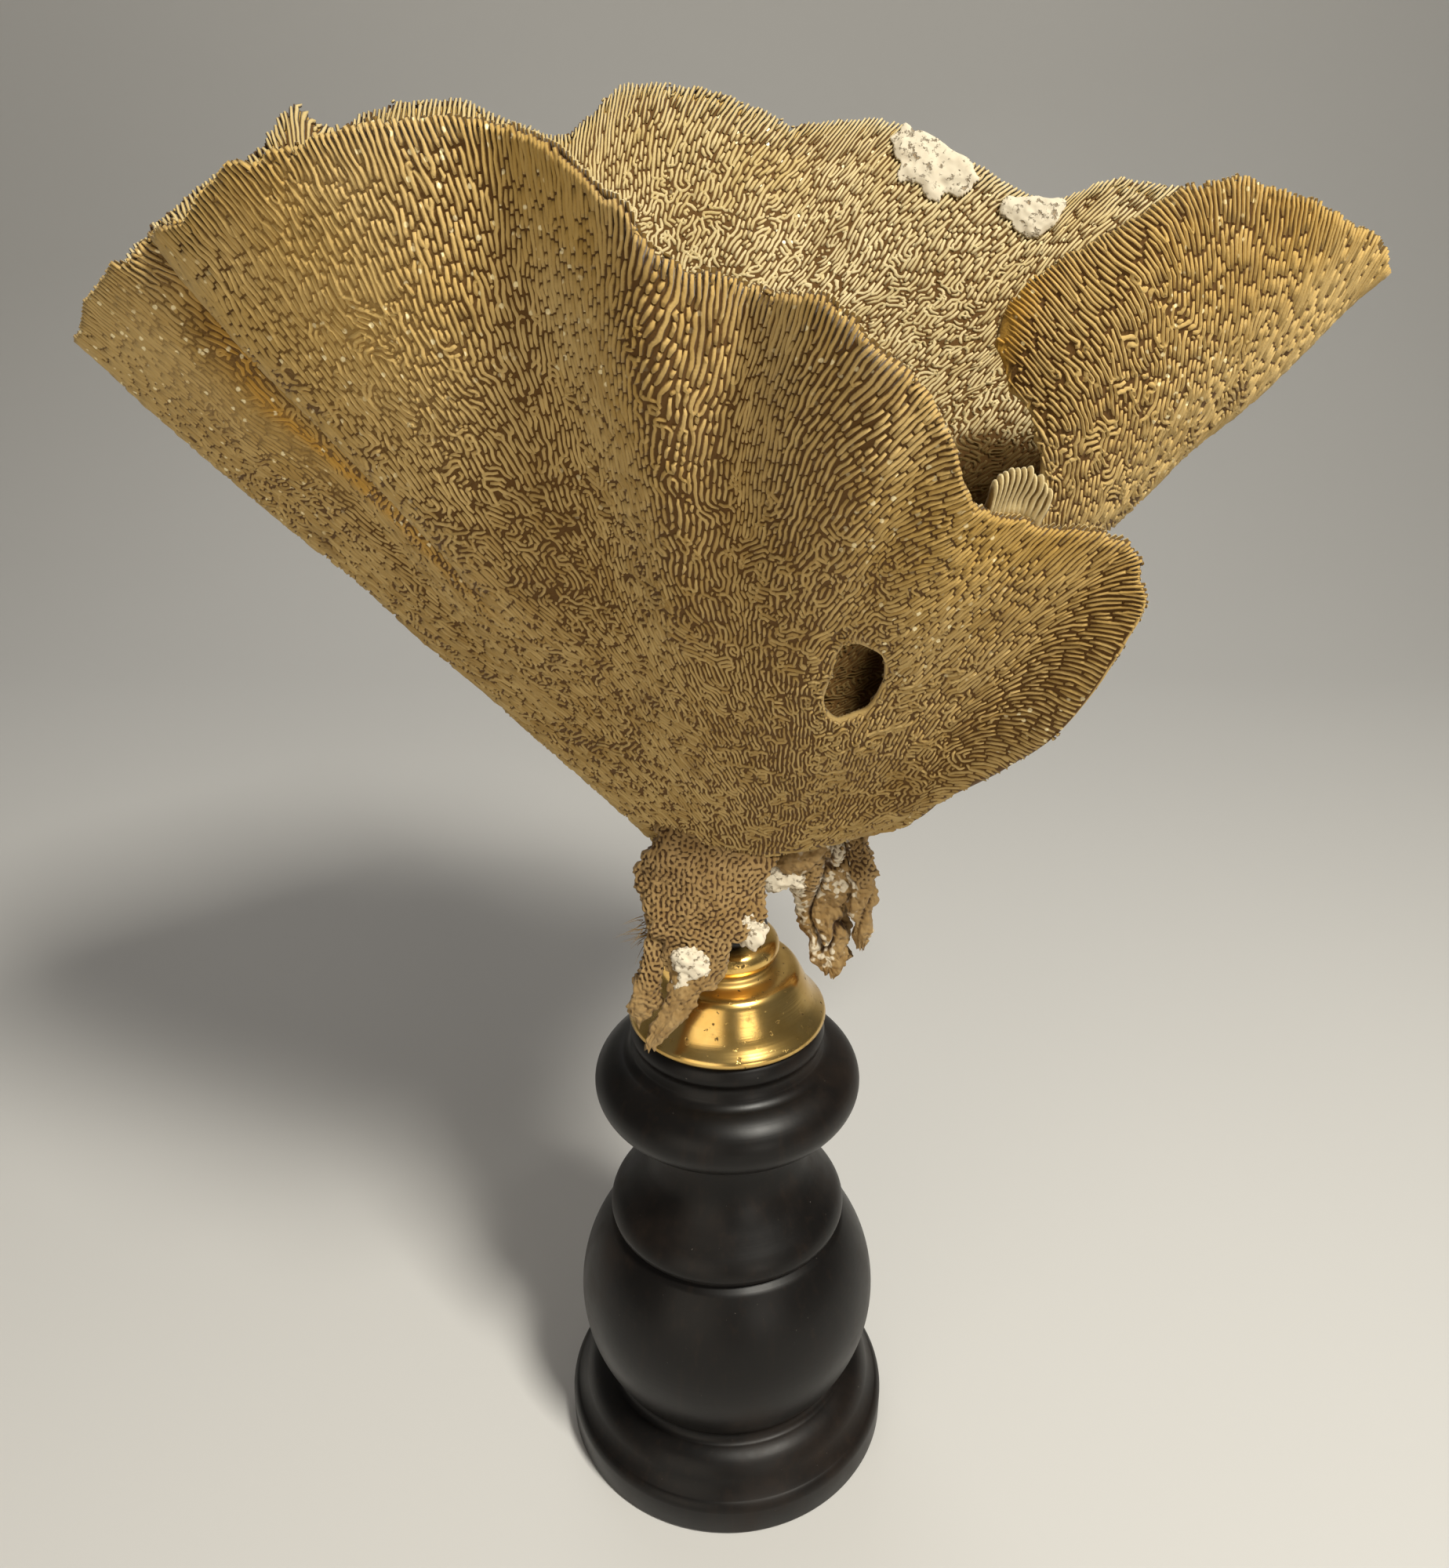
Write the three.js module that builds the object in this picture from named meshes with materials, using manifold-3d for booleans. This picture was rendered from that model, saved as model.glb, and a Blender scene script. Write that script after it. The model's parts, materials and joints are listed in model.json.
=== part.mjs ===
// Leaf sponge: a dried sheet sponge, folded into a lopsided funnel, on a turned stand with a collar.
// Millimetres, +Z up, the stand's axis is Z and its foot rests on z = 0. The photographed front looks along +Y.
import * as THREE from "three";
import { mergeVertices } from "three/addons/utils/BufferGeometryUtils.js";
import Module from "manifold-3d";

const wasm = await Module();
wasm.setup();

// Driving sizes.
const FOOT_RADIUS = 38;
const BALL_RADIUS = 34.2;
const BALL_CENTRE_Z = 40;
const STAND_TOP_Z = 116.7;
const COLLAR_RADIUS = 20.9;
const COLLAR_BASE_Z = 117;
const RING_RADIUS = 10.8;
const RING_TOP_Z = 137;
const PEG_RADIUS = 3.2;
const PEG_TOP_Z = 164;
const SHEET_THICKNESS = 3.2;
const MARGIN_THICKNESS = 2.2;
const SHEET_BULGE = 1;
const FRILL_FADE = 1.8;
const FRILL_SPAN = 0.03;
const STALK_Z = 160;
const STALK_SLOPE = 0.15;
const STALK_X = 7;
const STALK_START = { angle: -25, halfX: 21, halfY: 9 };
const STALK_END = { angle: -375, halfX: 16, halfY: 5 };
const HOLE = { u: 0.1745, v: 0.541, halfWidth: 4.7, halfHeight: 8.4, reach: 8 };
const GAP = 0.3;

// How finely the round and rolled forms are faceted.
const TURNED_SEGMENTS = 32;
const SMALL_SEGMENTS = 24;
const STEPS_PER_SPAN = 2;
const ROWS = 8;
const LEG_SEGMENTS = 10;

// The leaf's free margin, from the front right lobe round the front, the left tip, the back, the right
// tip and the lobe that turns in behind the front one: x, y, z.
const MARGIN = [
  // front right lobe
  [28, -6, 163], [36, -14, 171], [42, -21, 182], [52, -31, 193], [58, -38, 205], [61.5, -42, 217],
  [62, -42, 225], [59, -41, 230], [50, -43, 232.5], [41, -46, 235], [34, -51, 238],
  // front wall
  [30.5, -57, 245], [25.5, -62, 254.5], [18, -67, 262], [11, -66, 266], [3, -58, 266.5], [-5, -58.5, 270],
  [-12, -60, 276.5], [-22, -52, 282], [-32.5, -45, 285], [-45, -42, 285], [-56, -39, 283.5],
  [-67, -35, 279.5], [-77, -29, 275.5],
  // crease and left tip
  [-85.5, -20, 271.5], [-91, -19, 267.5], [-101, -11, 261], [-109.5, 0, 253.5], [-108, 9, 259.5],
  [-98, 15, 271],
  // back wall, with its small pointed leaflet
  [-82.5, 21, 282], [-79, 23, 285], [-74.5, 25, 289], [-70, 27, 286], [-57, 32, 289.5], [-46, 38, 290],
  [-35, 46, 285], [-27.5, 52, 287.5], [-19.5, 56, 293.5], [-7, 58, 294.5], [5, 57, 290.5],
  [17, 58, 286.5], [32, 58, 287], [45.5, 54, 282], [61, 47, 274], [73.5, 45, 277.5], [85, 42, 276],
  [98, 37, 272.5], [110, 28, 268],
  // right tip and right lobe
  [114.5, 14, 263], [105.5, 4, 270], [95, -2, 274], [79, -7, 278], [70, -8, 276], [60.5, -6, 271],
  [51.5, -4, 267], [46, -2, 261], [45, 0, 253], [48, 1, 244], [54, 2, 234.5], [57.5, 3, 224],
  [54, 3, 207.5], [41.5, 4, 180], [25.5, 3, 160],
];

// The torn hold-fast: x, y, z, half width and half depth of each station, from the stalk down.
const LEFT_LEG = [
  [-3, -6, 168, 11, 3], [-4, -8, 159, 12, 3.4], [-5, -11, 151, 11, 3.2], [-6, -14, 143, 9.2, 2.6],
  [-10, -16, 135, 6.6, 2.3], [-12.5, -18.5, 129, 4.6, 2], [-13.5, -20, 125, 2.6, 1.6], [-15, -20.5, 122, 1, 1],
];
const OUTER_LOBE = [
  [-13, -11, 149, 3, 2.6], [-14.8, -13, 140, 2.7, 2.4], [-16.7, -15.5, 133, 2.3, 2], [-18, -17, 128, 1.6, 1.6],
  [-18.3, -17.3, 126, 0.7, 0.8],
];
const RIGHT_LEG = [
  [16.5, 0, 168, 8, 4], [18.5, 0.5, 157, 10, 4.4], [20, 1, 151, 9.8, 4], [22.5, 1, 143, 7.2, 3.2],
  [23.8, 0, 135, 4.4, 2.5], [23.3, 0, 130, 2.8, 2], [22, 0, 127, 1, 1],
];

// Chips of lime grown on the legs: centre and half sizes.
const LIME = [
  { name: "lime_crust_left", at: [-7.2, -16.6, 138.5], half: [3.6, 1.8, 4.4] },
  { name: "lime_crust_inner", at: [4, -12.6, 145.5], half: [2.6, 1.8, 3.4] },
  { name: "lime_crust_right", at: [10.6, -3.4, 152], half: [3.9, 2, 2.6] },
];

const WOOD = new THREE.MeshStandardMaterial({ color: 0x17130f, roughness: 0.38, metalness: 0 });
const BRASS = new THREE.MeshStandardMaterial({ color: 0xb88a35, roughness: 0.25, metalness: 1 });
const BLACK = new THREE.MeshStandardMaterial({ color: 0x0d0c0b, roughness: 0.45, metalness: 0 });
const SPONGE = new THREE.MeshStandardMaterial({ color: 0xb99a63, roughness: 0.85, metalness: 0 });
const CHALK = new THREE.MeshStandardMaterial({ color: 0xe9e2d3, roughness: 0.9, metalness: 0 });

// A solid for adding and cutting, from a geometry.
function solidOf(geometry) {
  const bare = geometry.clone();
  bare.deleteAttribute("normal");
  bare.deleteAttribute("uv");
  const merged = mergeVertices(bare, 1e-3);
  return new wasm.Manifold(
    new wasm.Mesh({
      numProp: 3,
      vertProperties: merged.attributes.position.array,
      triVerts: new Uint32Array(merged.index.array),
    }),
  );
}

// The geometry of a solid.
function geometryOf(solid) {
  const mesh = solid.getMesh();
  const geometry = new THREE.BufferGeometry();
  geometry.setAttribute("position", new THREE.BufferAttribute(mesh.vertProperties, 3));
  geometry.setIndex(new THREE.BufferAttribute(mesh.triVerts, 1));
  geometry.computeVertexNormals();
  return geometry;
}

// A named mesh of the part.
function piece(name, geometry, material) {
  const mesh = new THREE.Mesh(geometry, material);
  mesh.name = name;
  return mesh;
}

// A turned form about Z from [radius, height] pairs that start and end on the axis.
function turned(profile, segments) {
  const points = profile.map(([r, z]) => new THREE.Vector2(r, z));
  return new THREE.LatheGeometry(points, segments).rotateX(Math.PI / 2);
}

// Pairs along an arc of a turned profile, angles in degrees from the radius direction.
function arc(centreR, centreZ, radiusR, radiusZ, from, to, steps) {
  const pairs = [];
  for (let i = 0; i <= steps; i += 1) {
    const a = THREE.MathUtils.degToRad(from + ((to - from) * i) / steps);
    pairs.push([centreR + radiusR * Math.cos(a), centreZ + radiusZ * Math.sin(a)]);
  }
  return pairs;
}

function standProfile() {
  return [
    [0, 0],
    [FOOT_RADIUS - 0.8, 0],
    [FOOT_RADIUS, 0.8],
    ...arc(FOOT_RADIUS - 3, 6.8, 3, 3, 0, 60, 2),
    ...arc(27.5, 9.4, 7.6, 8.8, 20, 80, 3),
    ...arc(0, BALL_CENTRE_Z, BALL_RADIUS, BALL_RADIUS, -36, 40, 8),
    [24.6, 63],
    [26.2, 64.2],
    [26.5, 66],
    [25.4, 68.6],
    [22.6, 72],
    [19.8, 75.6],
    [17.8, 79.5],
    [16.6, 85],
    [17.4, 90.6],
    ...arc(18.6, 100.4, 10.2, 8, -78, 70, 7),
    [20.7, 109.8],
    [20.2, 112],
    [20.8, 113.2],
    [20.2, 115.4],
    [19.4, STAND_TOP_Z],
    [0, STAND_TOP_Z],
  ];
}

function collarProfile() {
  return [
    [0, COLLAR_BASE_Z],
    [COLLAR_RADIUS - 0.5, COLLAR_BASE_Z],
    [COLLAR_RADIUS, COLLAR_BASE_Z + 0.6],
    [COLLAR_RADIUS - 0.2, COLLAR_BASE_Z + 1.4],
    [18.2, 121.5],
    [16, 126],
    [14.9, 128],
    [13.6, 128.9],
    [10.6, 129.4],
    [9.6, 130.4],
    ...arc(RING_RADIUS - 3, 133.7, 3, 3, -70, 70, 6),
    [RING_RADIUS - 3, RING_TOP_Z],
    [0, RING_TOP_Z],
  ];
}

function pegProfile() {
  const base = RING_TOP_Z + GAP;
  return [
    [0, base],
    [7.6, base],
    ...arc(3.4, base, 5, 5.6, 10, 70, 4),
    [PEG_RADIUS, base + 7],
    [PEG_RADIUS, PEG_TOP_Z - 1.4],
    [PEG_RADIUS - 1.2, PEG_TOP_Z],
    [0, PEG_TOP_Z],
  ];
}

// The leaf's middle surface: u runs along the margin from 0 to 1 and v from the stalk to the margin.
const marginCurve = new THREE.CatmullRomCurve3(
  MARGIN.map((p) => new THREE.Vector3(...p)), false, "catmullrom", 0.5,
);

function stalkPoint(u) {
  const mix = (key) => THREE.MathUtils.lerp(STALK_START[key], STALK_END[key], u);
  const a = THREE.MathUtils.degToRad(mix("angle"));
  const dx = mix("halfX") * Math.cos(a);
  return new THREE.Vector3(STALK_X + dx, mix("halfY") * Math.sin(a), STALK_Z + STALK_SLOPE * dx);
}

function marginPoint(u) {
  return marginCurve.getPoint(THREE.MathUtils.clamp(u, 0, 1));
}

// The margin without its frills: a mean over a span of it that shrinks towards its two ends.
function calmMargin(u) {
  const span = Math.min(FRILL_SPAN, u, 1 - u);
  const sum = new THREE.Vector3();
  for (let k = -3; k <= 3; k += 1) sum.add(marginPoint(u + (span * k) / 3));
  return sum.divideScalar(7);
}

// Each rib runs straight from the stalk, and the frills of the margin fade on the way down to it.
function leafPoint(u, v) {
  const root = stalkPoint(u);
  const calm = calmMargin(u);
  const frill = marginPoint(u).sub(calm);
  const run = calm.sub(root);
  const out = new THREE.Vector3(run.x, run.y, 0).normalize();
  const down = out.clone().multiplyScalar(run.z).setZ(-run.dot(out)).normalize();
  const bulge = SHEET_BULGE * 4 * v * (1 - v) * Math.min(1, run.length() / 100);
  return root.addScaledVector(run, v).addScaledVector(frill, v ** FRILL_FADE).addScaledVector(down, bulge);
}

function leafNormal(u, v) {
  const step = 0.002;
  const u0 = Math.max(0, u - step);
  const u1 = Math.min(1, u + step);
  const v0 = Math.max(0, v - 0.02);
  const v1 = Math.min(1, v + 0.02);
  const along = leafPoint(u1, v).sub(leafPoint(u0, v));
  const up = leafPoint(u, v1).sub(leafPoint(u, v0));
  return up.cross(along).normalize();
}

// A closed sheet of two faces, joined along its four edges.
function leafGeometry() {
  const columns = (MARGIN.length - 1) * STEPS_PER_SPAN;
  const position = [];
  const index = [];
  const count = (columns + 1) * (ROWS + 1);
  for (const side of [1, -1]) {
    for (let i = 0; i <= columns; i += 1) {
      for (let j = 0; j <= ROWS; j += 1) {
        const u = i / columns;
        const v = j / ROWS;
        const half = (j === ROWS ? MARGIN_THICKNESS : SHEET_THICKNESS) / 2;
        const p = leafPoint(u, v).addScaledVector(leafNormal(u, v), side * half);
        position.push(p.x, p.y, p.z);
      }
    }
  }
  const at = (i, j) => i * (ROWS + 1) + j;
  const quad = (a, b, c, d) => index.push(a, b, c, a, c, d);
  for (let i = 0; i < columns; i += 1) {
    for (let j = 0; j < ROWS; j += 1) {
      quad(at(i, j), at(i, j + 1), at(i + 1, j + 1), at(i + 1, j));
      quad(count + at(i, j), count + at(i + 1, j), count + at(i + 1, j + 1), count + at(i, j + 1));
    }
    quad(at(i, ROWS), count + at(i, ROWS), count + at(i + 1, ROWS), at(i + 1, ROWS));
    quad(at(i, 0), at(i + 1, 0), count + at(i + 1, 0), count + at(i, 0));
  }
  for (let j = 0; j < ROWS; j += 1) {
    quad(at(0, j), count + at(0, j), count + at(0, j + 1), at(0, j + 1));
    quad(at(columns, j), at(columns, j + 1), count + at(columns, j + 1), count + at(columns, j));
  }
  const geometry = new THREE.BufferGeometry();
  geometry.setAttribute("position", new THREE.Float32BufferAttribute(position, 3));
  geometry.setIndex(index);
  return geometry;
}

// A ragged strap through level, roughly oval stations.
function strapGeometry(stations, phase) {
  const position = [];
  const index = [];
  stations.forEach(([x, y, z, halfWidth, halfDepth], level) => {
    for (let k = 0; k < LEG_SEGMENTS; k += 1) {
      const a = (2 * Math.PI * k) / LEG_SEGMENTS;
      const rag = 1 + 0.1 * Math.sin(3 * a + 2.1 * level + phase);
      position.push(x + halfWidth * rag * Math.cos(a), y + halfDepth * rag * Math.sin(a), z);
    }
  });
  const levels = stations.length;
  const top = position.length / 3;
  position.push(...stations[0].slice(0, 3), ...stations[levels - 1].slice(0, 3));
  for (let k = 0; k < LEG_SEGMENTS; k += 1) {
    const next = (k + 1) % LEG_SEGMENTS;
    for (let level = 0; level < levels - 1; level += 1) {
      const a = level * LEG_SEGMENTS;
      const b = a + LEG_SEGMENTS;
      index.push(a + k, b + k, b + next, a + k, b + next, a + next);
    }
    const last = (levels - 1) * LEG_SEGMENTS;
    index.push(top, k, next, top + 1, last + next, last + k);
  }
  const geometry = new THREE.BufferGeometry();
  geometry.setAttribute("position", new THREE.Float32BufferAttribute(position, 3));
  geometry.setIndex(index);
  return geometry;
}

// The small tongue that stands up behind the notch between the front wall and its right lobe.
function tongueGeometry() {
  const outline = new THREE.Shape();
  outline.moveTo(-5, -9);
  outline.lineTo(5, -9);
  outline.lineTo(5, 2.5);
  outline.quadraticCurveTo(4.5, 5, 1, 6);
  outline.quadraticCurveTo(-3.5, 5.5, -4.5, 2);
  outline.closePath();
  const plate = new THREE.ExtrudeGeometry(outline, { depth: 2.4, bevelEnabled: false, curveSegments: 4 });
  return plate.rotateX(Math.PI / 2).rotateX(THREE.MathUtils.degToRad(30)).rotateZ(0.3).translate(40, -44.4, 236);
}

function sponge(pegSolid) {
  const leaf = solidOf(leafGeometry());
  const legs = [LEFT_LEG, OUTER_LOBE, RIGHT_LEG].map((stations, i) => solidOf(strapGeometry(stations, i)));
  const through = new THREE.Quaternion().setFromUnitVectors(
    new THREE.Vector3(0, 1, 0), leafNormal(HOLE.u, HOLE.v).negate(),
  );
  const bore = new THREE.CylinderGeometry(1, 1, 2 * HOLE.reach, 16)
    .scale(HOLE.halfWidth, 1, HOLE.halfHeight)
    .applyQuaternion(through)
    .translate(...leafPoint(HOLE.u, HOLE.v).toArray());
  const whole = wasm.Manifold.union([leaf, ...legs, solidOf(tongueGeometry())]);
  return whole.subtract(solidOf(bore)).subtract(pegSolid);
}

// What is left of a lump after the sponge and a gap all round it are taken away, without crumbs.
function clearOf(body, lump) {
  const shifts = [[0, -GAP, 0], [0, GAP, 0], [-GAP, 0, 0], [GAP, 0, 0], [0, 0, -GAP], [0, 0, GAP]];
  const rest = shifts.reduce((left, shift) => left.subtract(body.translate(shift)), lump.subtract(body));
  return rest.decompose().sort((a, b) => b.volume() - a.volume())[0];
}

const group = new THREE.Group();
group.add(piece("stand", turned(standProfile(), TURNED_SEGMENTS), WOOD));
group.add(piece("brass_collar", turned(collarProfile(), SMALL_SEGMENTS), BRASS));
const pegGeometry = turned(pegProfile(), SMALL_SEGMENTS / 2);
group.add(piece("peg", pegGeometry, BLACK));

const pegRoom = solidOf(new THREE.CylinderGeometry(PEG_RADIUS + GAP, PEG_RADIUS + GAP, 60, 16)
  .rotateX(Math.PI / 2)
  .translate(0, 0, PEG_TOP_Z + GAP - 30));
const spongeSolid = sponge(pegRoom);
group.add(piece("sponge", geometryOf(spongeSolid), SPONGE));

for (const { name, at, half } of LIME) {
  const lump = new THREE.IcosahedronGeometry(1, 1).scale(...half).translate(...at);
  group.add(piece(name, geometryOf(clearOf(spongeSolid, solidOf(lump))), CHALK));
}

export default group;
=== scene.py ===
"""Leaf sponge on a turned stand: the dressed model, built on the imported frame.

Sizes are in millimetres until a mesh is made, and in metres in Blender. The stand's axis is Z.
"""

import itertools
import json
import logging
import math
from dataclasses import dataclass, field
from enum import Enum
from typing import Any, Dict, List, Optional, Sequence, Tuple

import bpy
import numpy as np
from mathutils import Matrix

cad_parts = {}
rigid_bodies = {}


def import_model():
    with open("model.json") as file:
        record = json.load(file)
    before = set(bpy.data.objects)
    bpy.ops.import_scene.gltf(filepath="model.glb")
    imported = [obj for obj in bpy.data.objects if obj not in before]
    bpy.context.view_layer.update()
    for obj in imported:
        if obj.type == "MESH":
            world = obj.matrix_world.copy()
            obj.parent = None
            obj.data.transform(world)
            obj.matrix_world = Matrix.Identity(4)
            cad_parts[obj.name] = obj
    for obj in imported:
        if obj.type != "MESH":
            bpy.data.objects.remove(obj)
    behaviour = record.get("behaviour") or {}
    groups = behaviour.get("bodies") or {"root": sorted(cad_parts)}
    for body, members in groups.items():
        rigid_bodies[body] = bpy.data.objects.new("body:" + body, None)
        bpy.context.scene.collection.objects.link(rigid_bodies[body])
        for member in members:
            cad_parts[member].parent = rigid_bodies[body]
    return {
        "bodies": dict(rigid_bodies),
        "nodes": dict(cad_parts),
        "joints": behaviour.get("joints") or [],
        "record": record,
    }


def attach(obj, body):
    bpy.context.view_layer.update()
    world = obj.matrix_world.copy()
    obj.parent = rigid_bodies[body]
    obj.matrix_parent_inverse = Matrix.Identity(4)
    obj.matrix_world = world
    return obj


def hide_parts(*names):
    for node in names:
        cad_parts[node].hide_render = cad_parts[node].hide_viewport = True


LOG = logging.getLogger("leaf_sponge")
MM = 0.001
BODY = "root"

Array = np.ndarray
Pair = Tuple[float, float]
Spot = Tuple[float, float, float]
Colour = Tuple[float, float, float]
Rod = Tuple[float, float, bool, bool]

# A whole turn in radians, and a place or distance well past any edge of the leaf.
TURN = 2 * math.pi
FAR = 9.0


class Slot(Enum):
    """The record's material slots."""

    SPONGE = "sponge"
    WOOD = "ebonised_wood"
    BRASS = "brass"
    PEG = "black_peg"
    LIME = "lime_crust"


class Face(Enum):
    """The two faces of the leaf: the outside of the funnel and its inside."""

    OUTER = 1
    INNER = -1


class Socket:
    """A shader value that can be used in an expression."""

    def __init__(self, graph: "Graph", socket: bpy.types.NodeSocket) -> None:
        """Wraps an output socket of a graph."""
        self.graph = graph
        self.socket = socket

    def _math(self, operation: str, a: Any, b: Any) -> "Socket":
        """A Math node.

        Args:
            operation: the node's operation.
            a: the first value, a socket or a number.
            b: the second value, a socket or a number.

        Returns:
            The node's result.
        """
        made = self.graph.node("ShaderNodeMath", {"operation": operation}, {0: a, 1: b})
        return Socket(self.graph, made.outputs[0])

    def __add__(self, other: Any) -> "Socket":
        """This value plus another."""
        return self._math("ADD", self, other)

    def __radd__(self, other: Any) -> "Socket":
        """A number plus this value."""
        return self._math("ADD", other, self)

    def __sub__(self, other: Any) -> "Socket":
        """This value less another."""
        return self._math("SUBTRACT", self, other)

    def __rsub__(self, other: Any) -> "Socket":
        """A number less this value."""
        return self._math("SUBTRACT", other, self)

    def __mul__(self, other: Any) -> "Socket":
        """This value times another."""
        return self._math("MULTIPLY", self, other)

    def __rmul__(self, other: Any) -> "Socket":
        """A number times this value."""
        return self._math("MULTIPLY", other, self)

    def __pow__(self, other: Any) -> "Socket":
        """This value to a power."""
        return self._math("POWER", self, other)


class Graph:
    """A material's node tree, built from expressions."""

    def __init__(self, name: str) -> None:
        """Starts an empty material.

        Args:
            name: the material's name.
        """
        self.material = bpy.data.materials.new(name)
        self.material.use_nodes = True
        self.tree = self.material.node_tree
        self.tree.nodes.clear()

    def node(self, kind: str, settings: Optional[Dict[str, Any]] = None,
             values: Optional[Dict[Any, Any]] = None) -> bpy.types.Node:
        """Any node of the tree.

        Args:
            kind: the node's type.
            settings: its own settings, set first.
            values: a number, colour or Socket for each input, by name or place.

        Returns:
            The new node.
        """
        made = self.tree.nodes.new(kind)
        for key, value in (settings or {}).items():
            setattr(made, key, value)
        for key, value in (values or {}).items():
            target = made.inputs[key]
            if isinstance(value, Socket):
                self.tree.links.new(value.socket, target)
            elif isinstance(value, tuple) and len(value) == 3 and target.type == "RGBA":
                target.default_value = (*value, 1.0)
            else:
                target.default_value = value
        return made

    def place(self) -> Socket:
        """The object's own coordinates, in metres."""
        return Socket(self, self.node("ShaderNodeTexCoord").outputs["Object"])

    def attribute(self, name: str) -> Socket:
        """A number that the mesh carries at each point."""
        return Socket(self, self.node("ShaderNodeAttribute", {"attribute_name": name}).outputs["Fac"])

    def noise(self, scale: float, detail: float = 3.0, roughness: float = 0.55,
              at: Optional[Socket] = None) -> Socket:
        """Soft noise from 0 to 1.

        Args:
            scale: cycles in a metre.
            detail: how many finer layers it has.
            roughness: how strong the finer layers are.
            at: the coordinates that it reads.

        Returns:
            The noise value.
        """
        values = {"Vector": at or self.place(), "Scale": scale, "Detail": detail, "Roughness": roughness}
        return Socket(self, self.node("ShaderNodeTexNoise", None, values).outputs["Fac"])

    def stretched(self, x: float, y: float, z: float) -> Socket:
        """The object's coordinates, scaled along each axis."""
        made = self.node("ShaderNodeVectorMath", {"operation": "MULTIPLY"}, {0: self.place(), 1: (x, y, z)})
        return Socket(self, made.outputs[0])

    def step(self, value: Socket, low: float, high: float) -> Socket:
        """A smooth step.

        Args:
            value: the value that it reads.
            low: where the step is 0.
            high: where the step is 1.

        Returns:
            The step, from 0 to 1.
        """
        made = self.node("ShaderNodeMapRange", {"interpolation_type": "SMOOTHSTEP"},
                         {"Value": value, "From Min": low, "From Max": high})
        return Socket(self, made.outputs["Result"])

    def mix(self, share: Any, a: Any, b: Any, blend: str = "MIX") -> Socket:
        """A mix of two colours.

        Args:
            share: the share of the second colour.
            a: the first colour.
            b: the second colour.
            blend: how the second goes over the first.

        Returns:
            The mixed colour.
        """
        made = self.node("ShaderNodeMix", {"data_type": "RGBA", "blend_type": blend},
                         {"Factor": share, 6: a, 7: b})
        return Socket(self, made.outputs[2])

    def dots(self, scale: float, size: float) -> Socket:
        """Scattered round dots, 1 inside and 0 outside.

        Args:
            scale: dots in a metre.
            size: their radius, as a share of the distance between them.

        Returns:
            The dots.
        """
        made = self.node("ShaderNodeTexVoronoi", None, {"Vector": self.place(), "Scale": scale})
        return 1.0 - self.step(Socket(self, made.outputs["Distance"]), 0.6 * size, size)

    def bump(self, height: Socket, distance: float, strength: float = 1.0) -> Socket:
        """A bumped normal.

        Args:
            height: the height, from 0 to 1.
            distance: how far that is, in millimetres.
            strength: how much of it shows.

        Returns:
            The normal.
        """
        made = self.node("ShaderNodeBump", None,
                         {"Height": height, "Distance": distance * MM, "Strength": strength})
        return Socket(self, made.outputs["Normal"])

    def finish(self, **values: Any) -> bpy.types.Material:
        """The material, once its surface is set.

        Args:
            **values: the shader's inputs, with underscores for spaces.

        Returns:
            The material.
        """
        named = {key.replace("_", " "): value for key, value in values.items()}
        shader = self.node("ShaderNodeBsdfPrincipled", None, named)
        self.node("ShaderNodeOutputMaterial", None, {"Surface": Socket(self, shader.outputs["BSDF"])})
        return self.material


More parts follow.
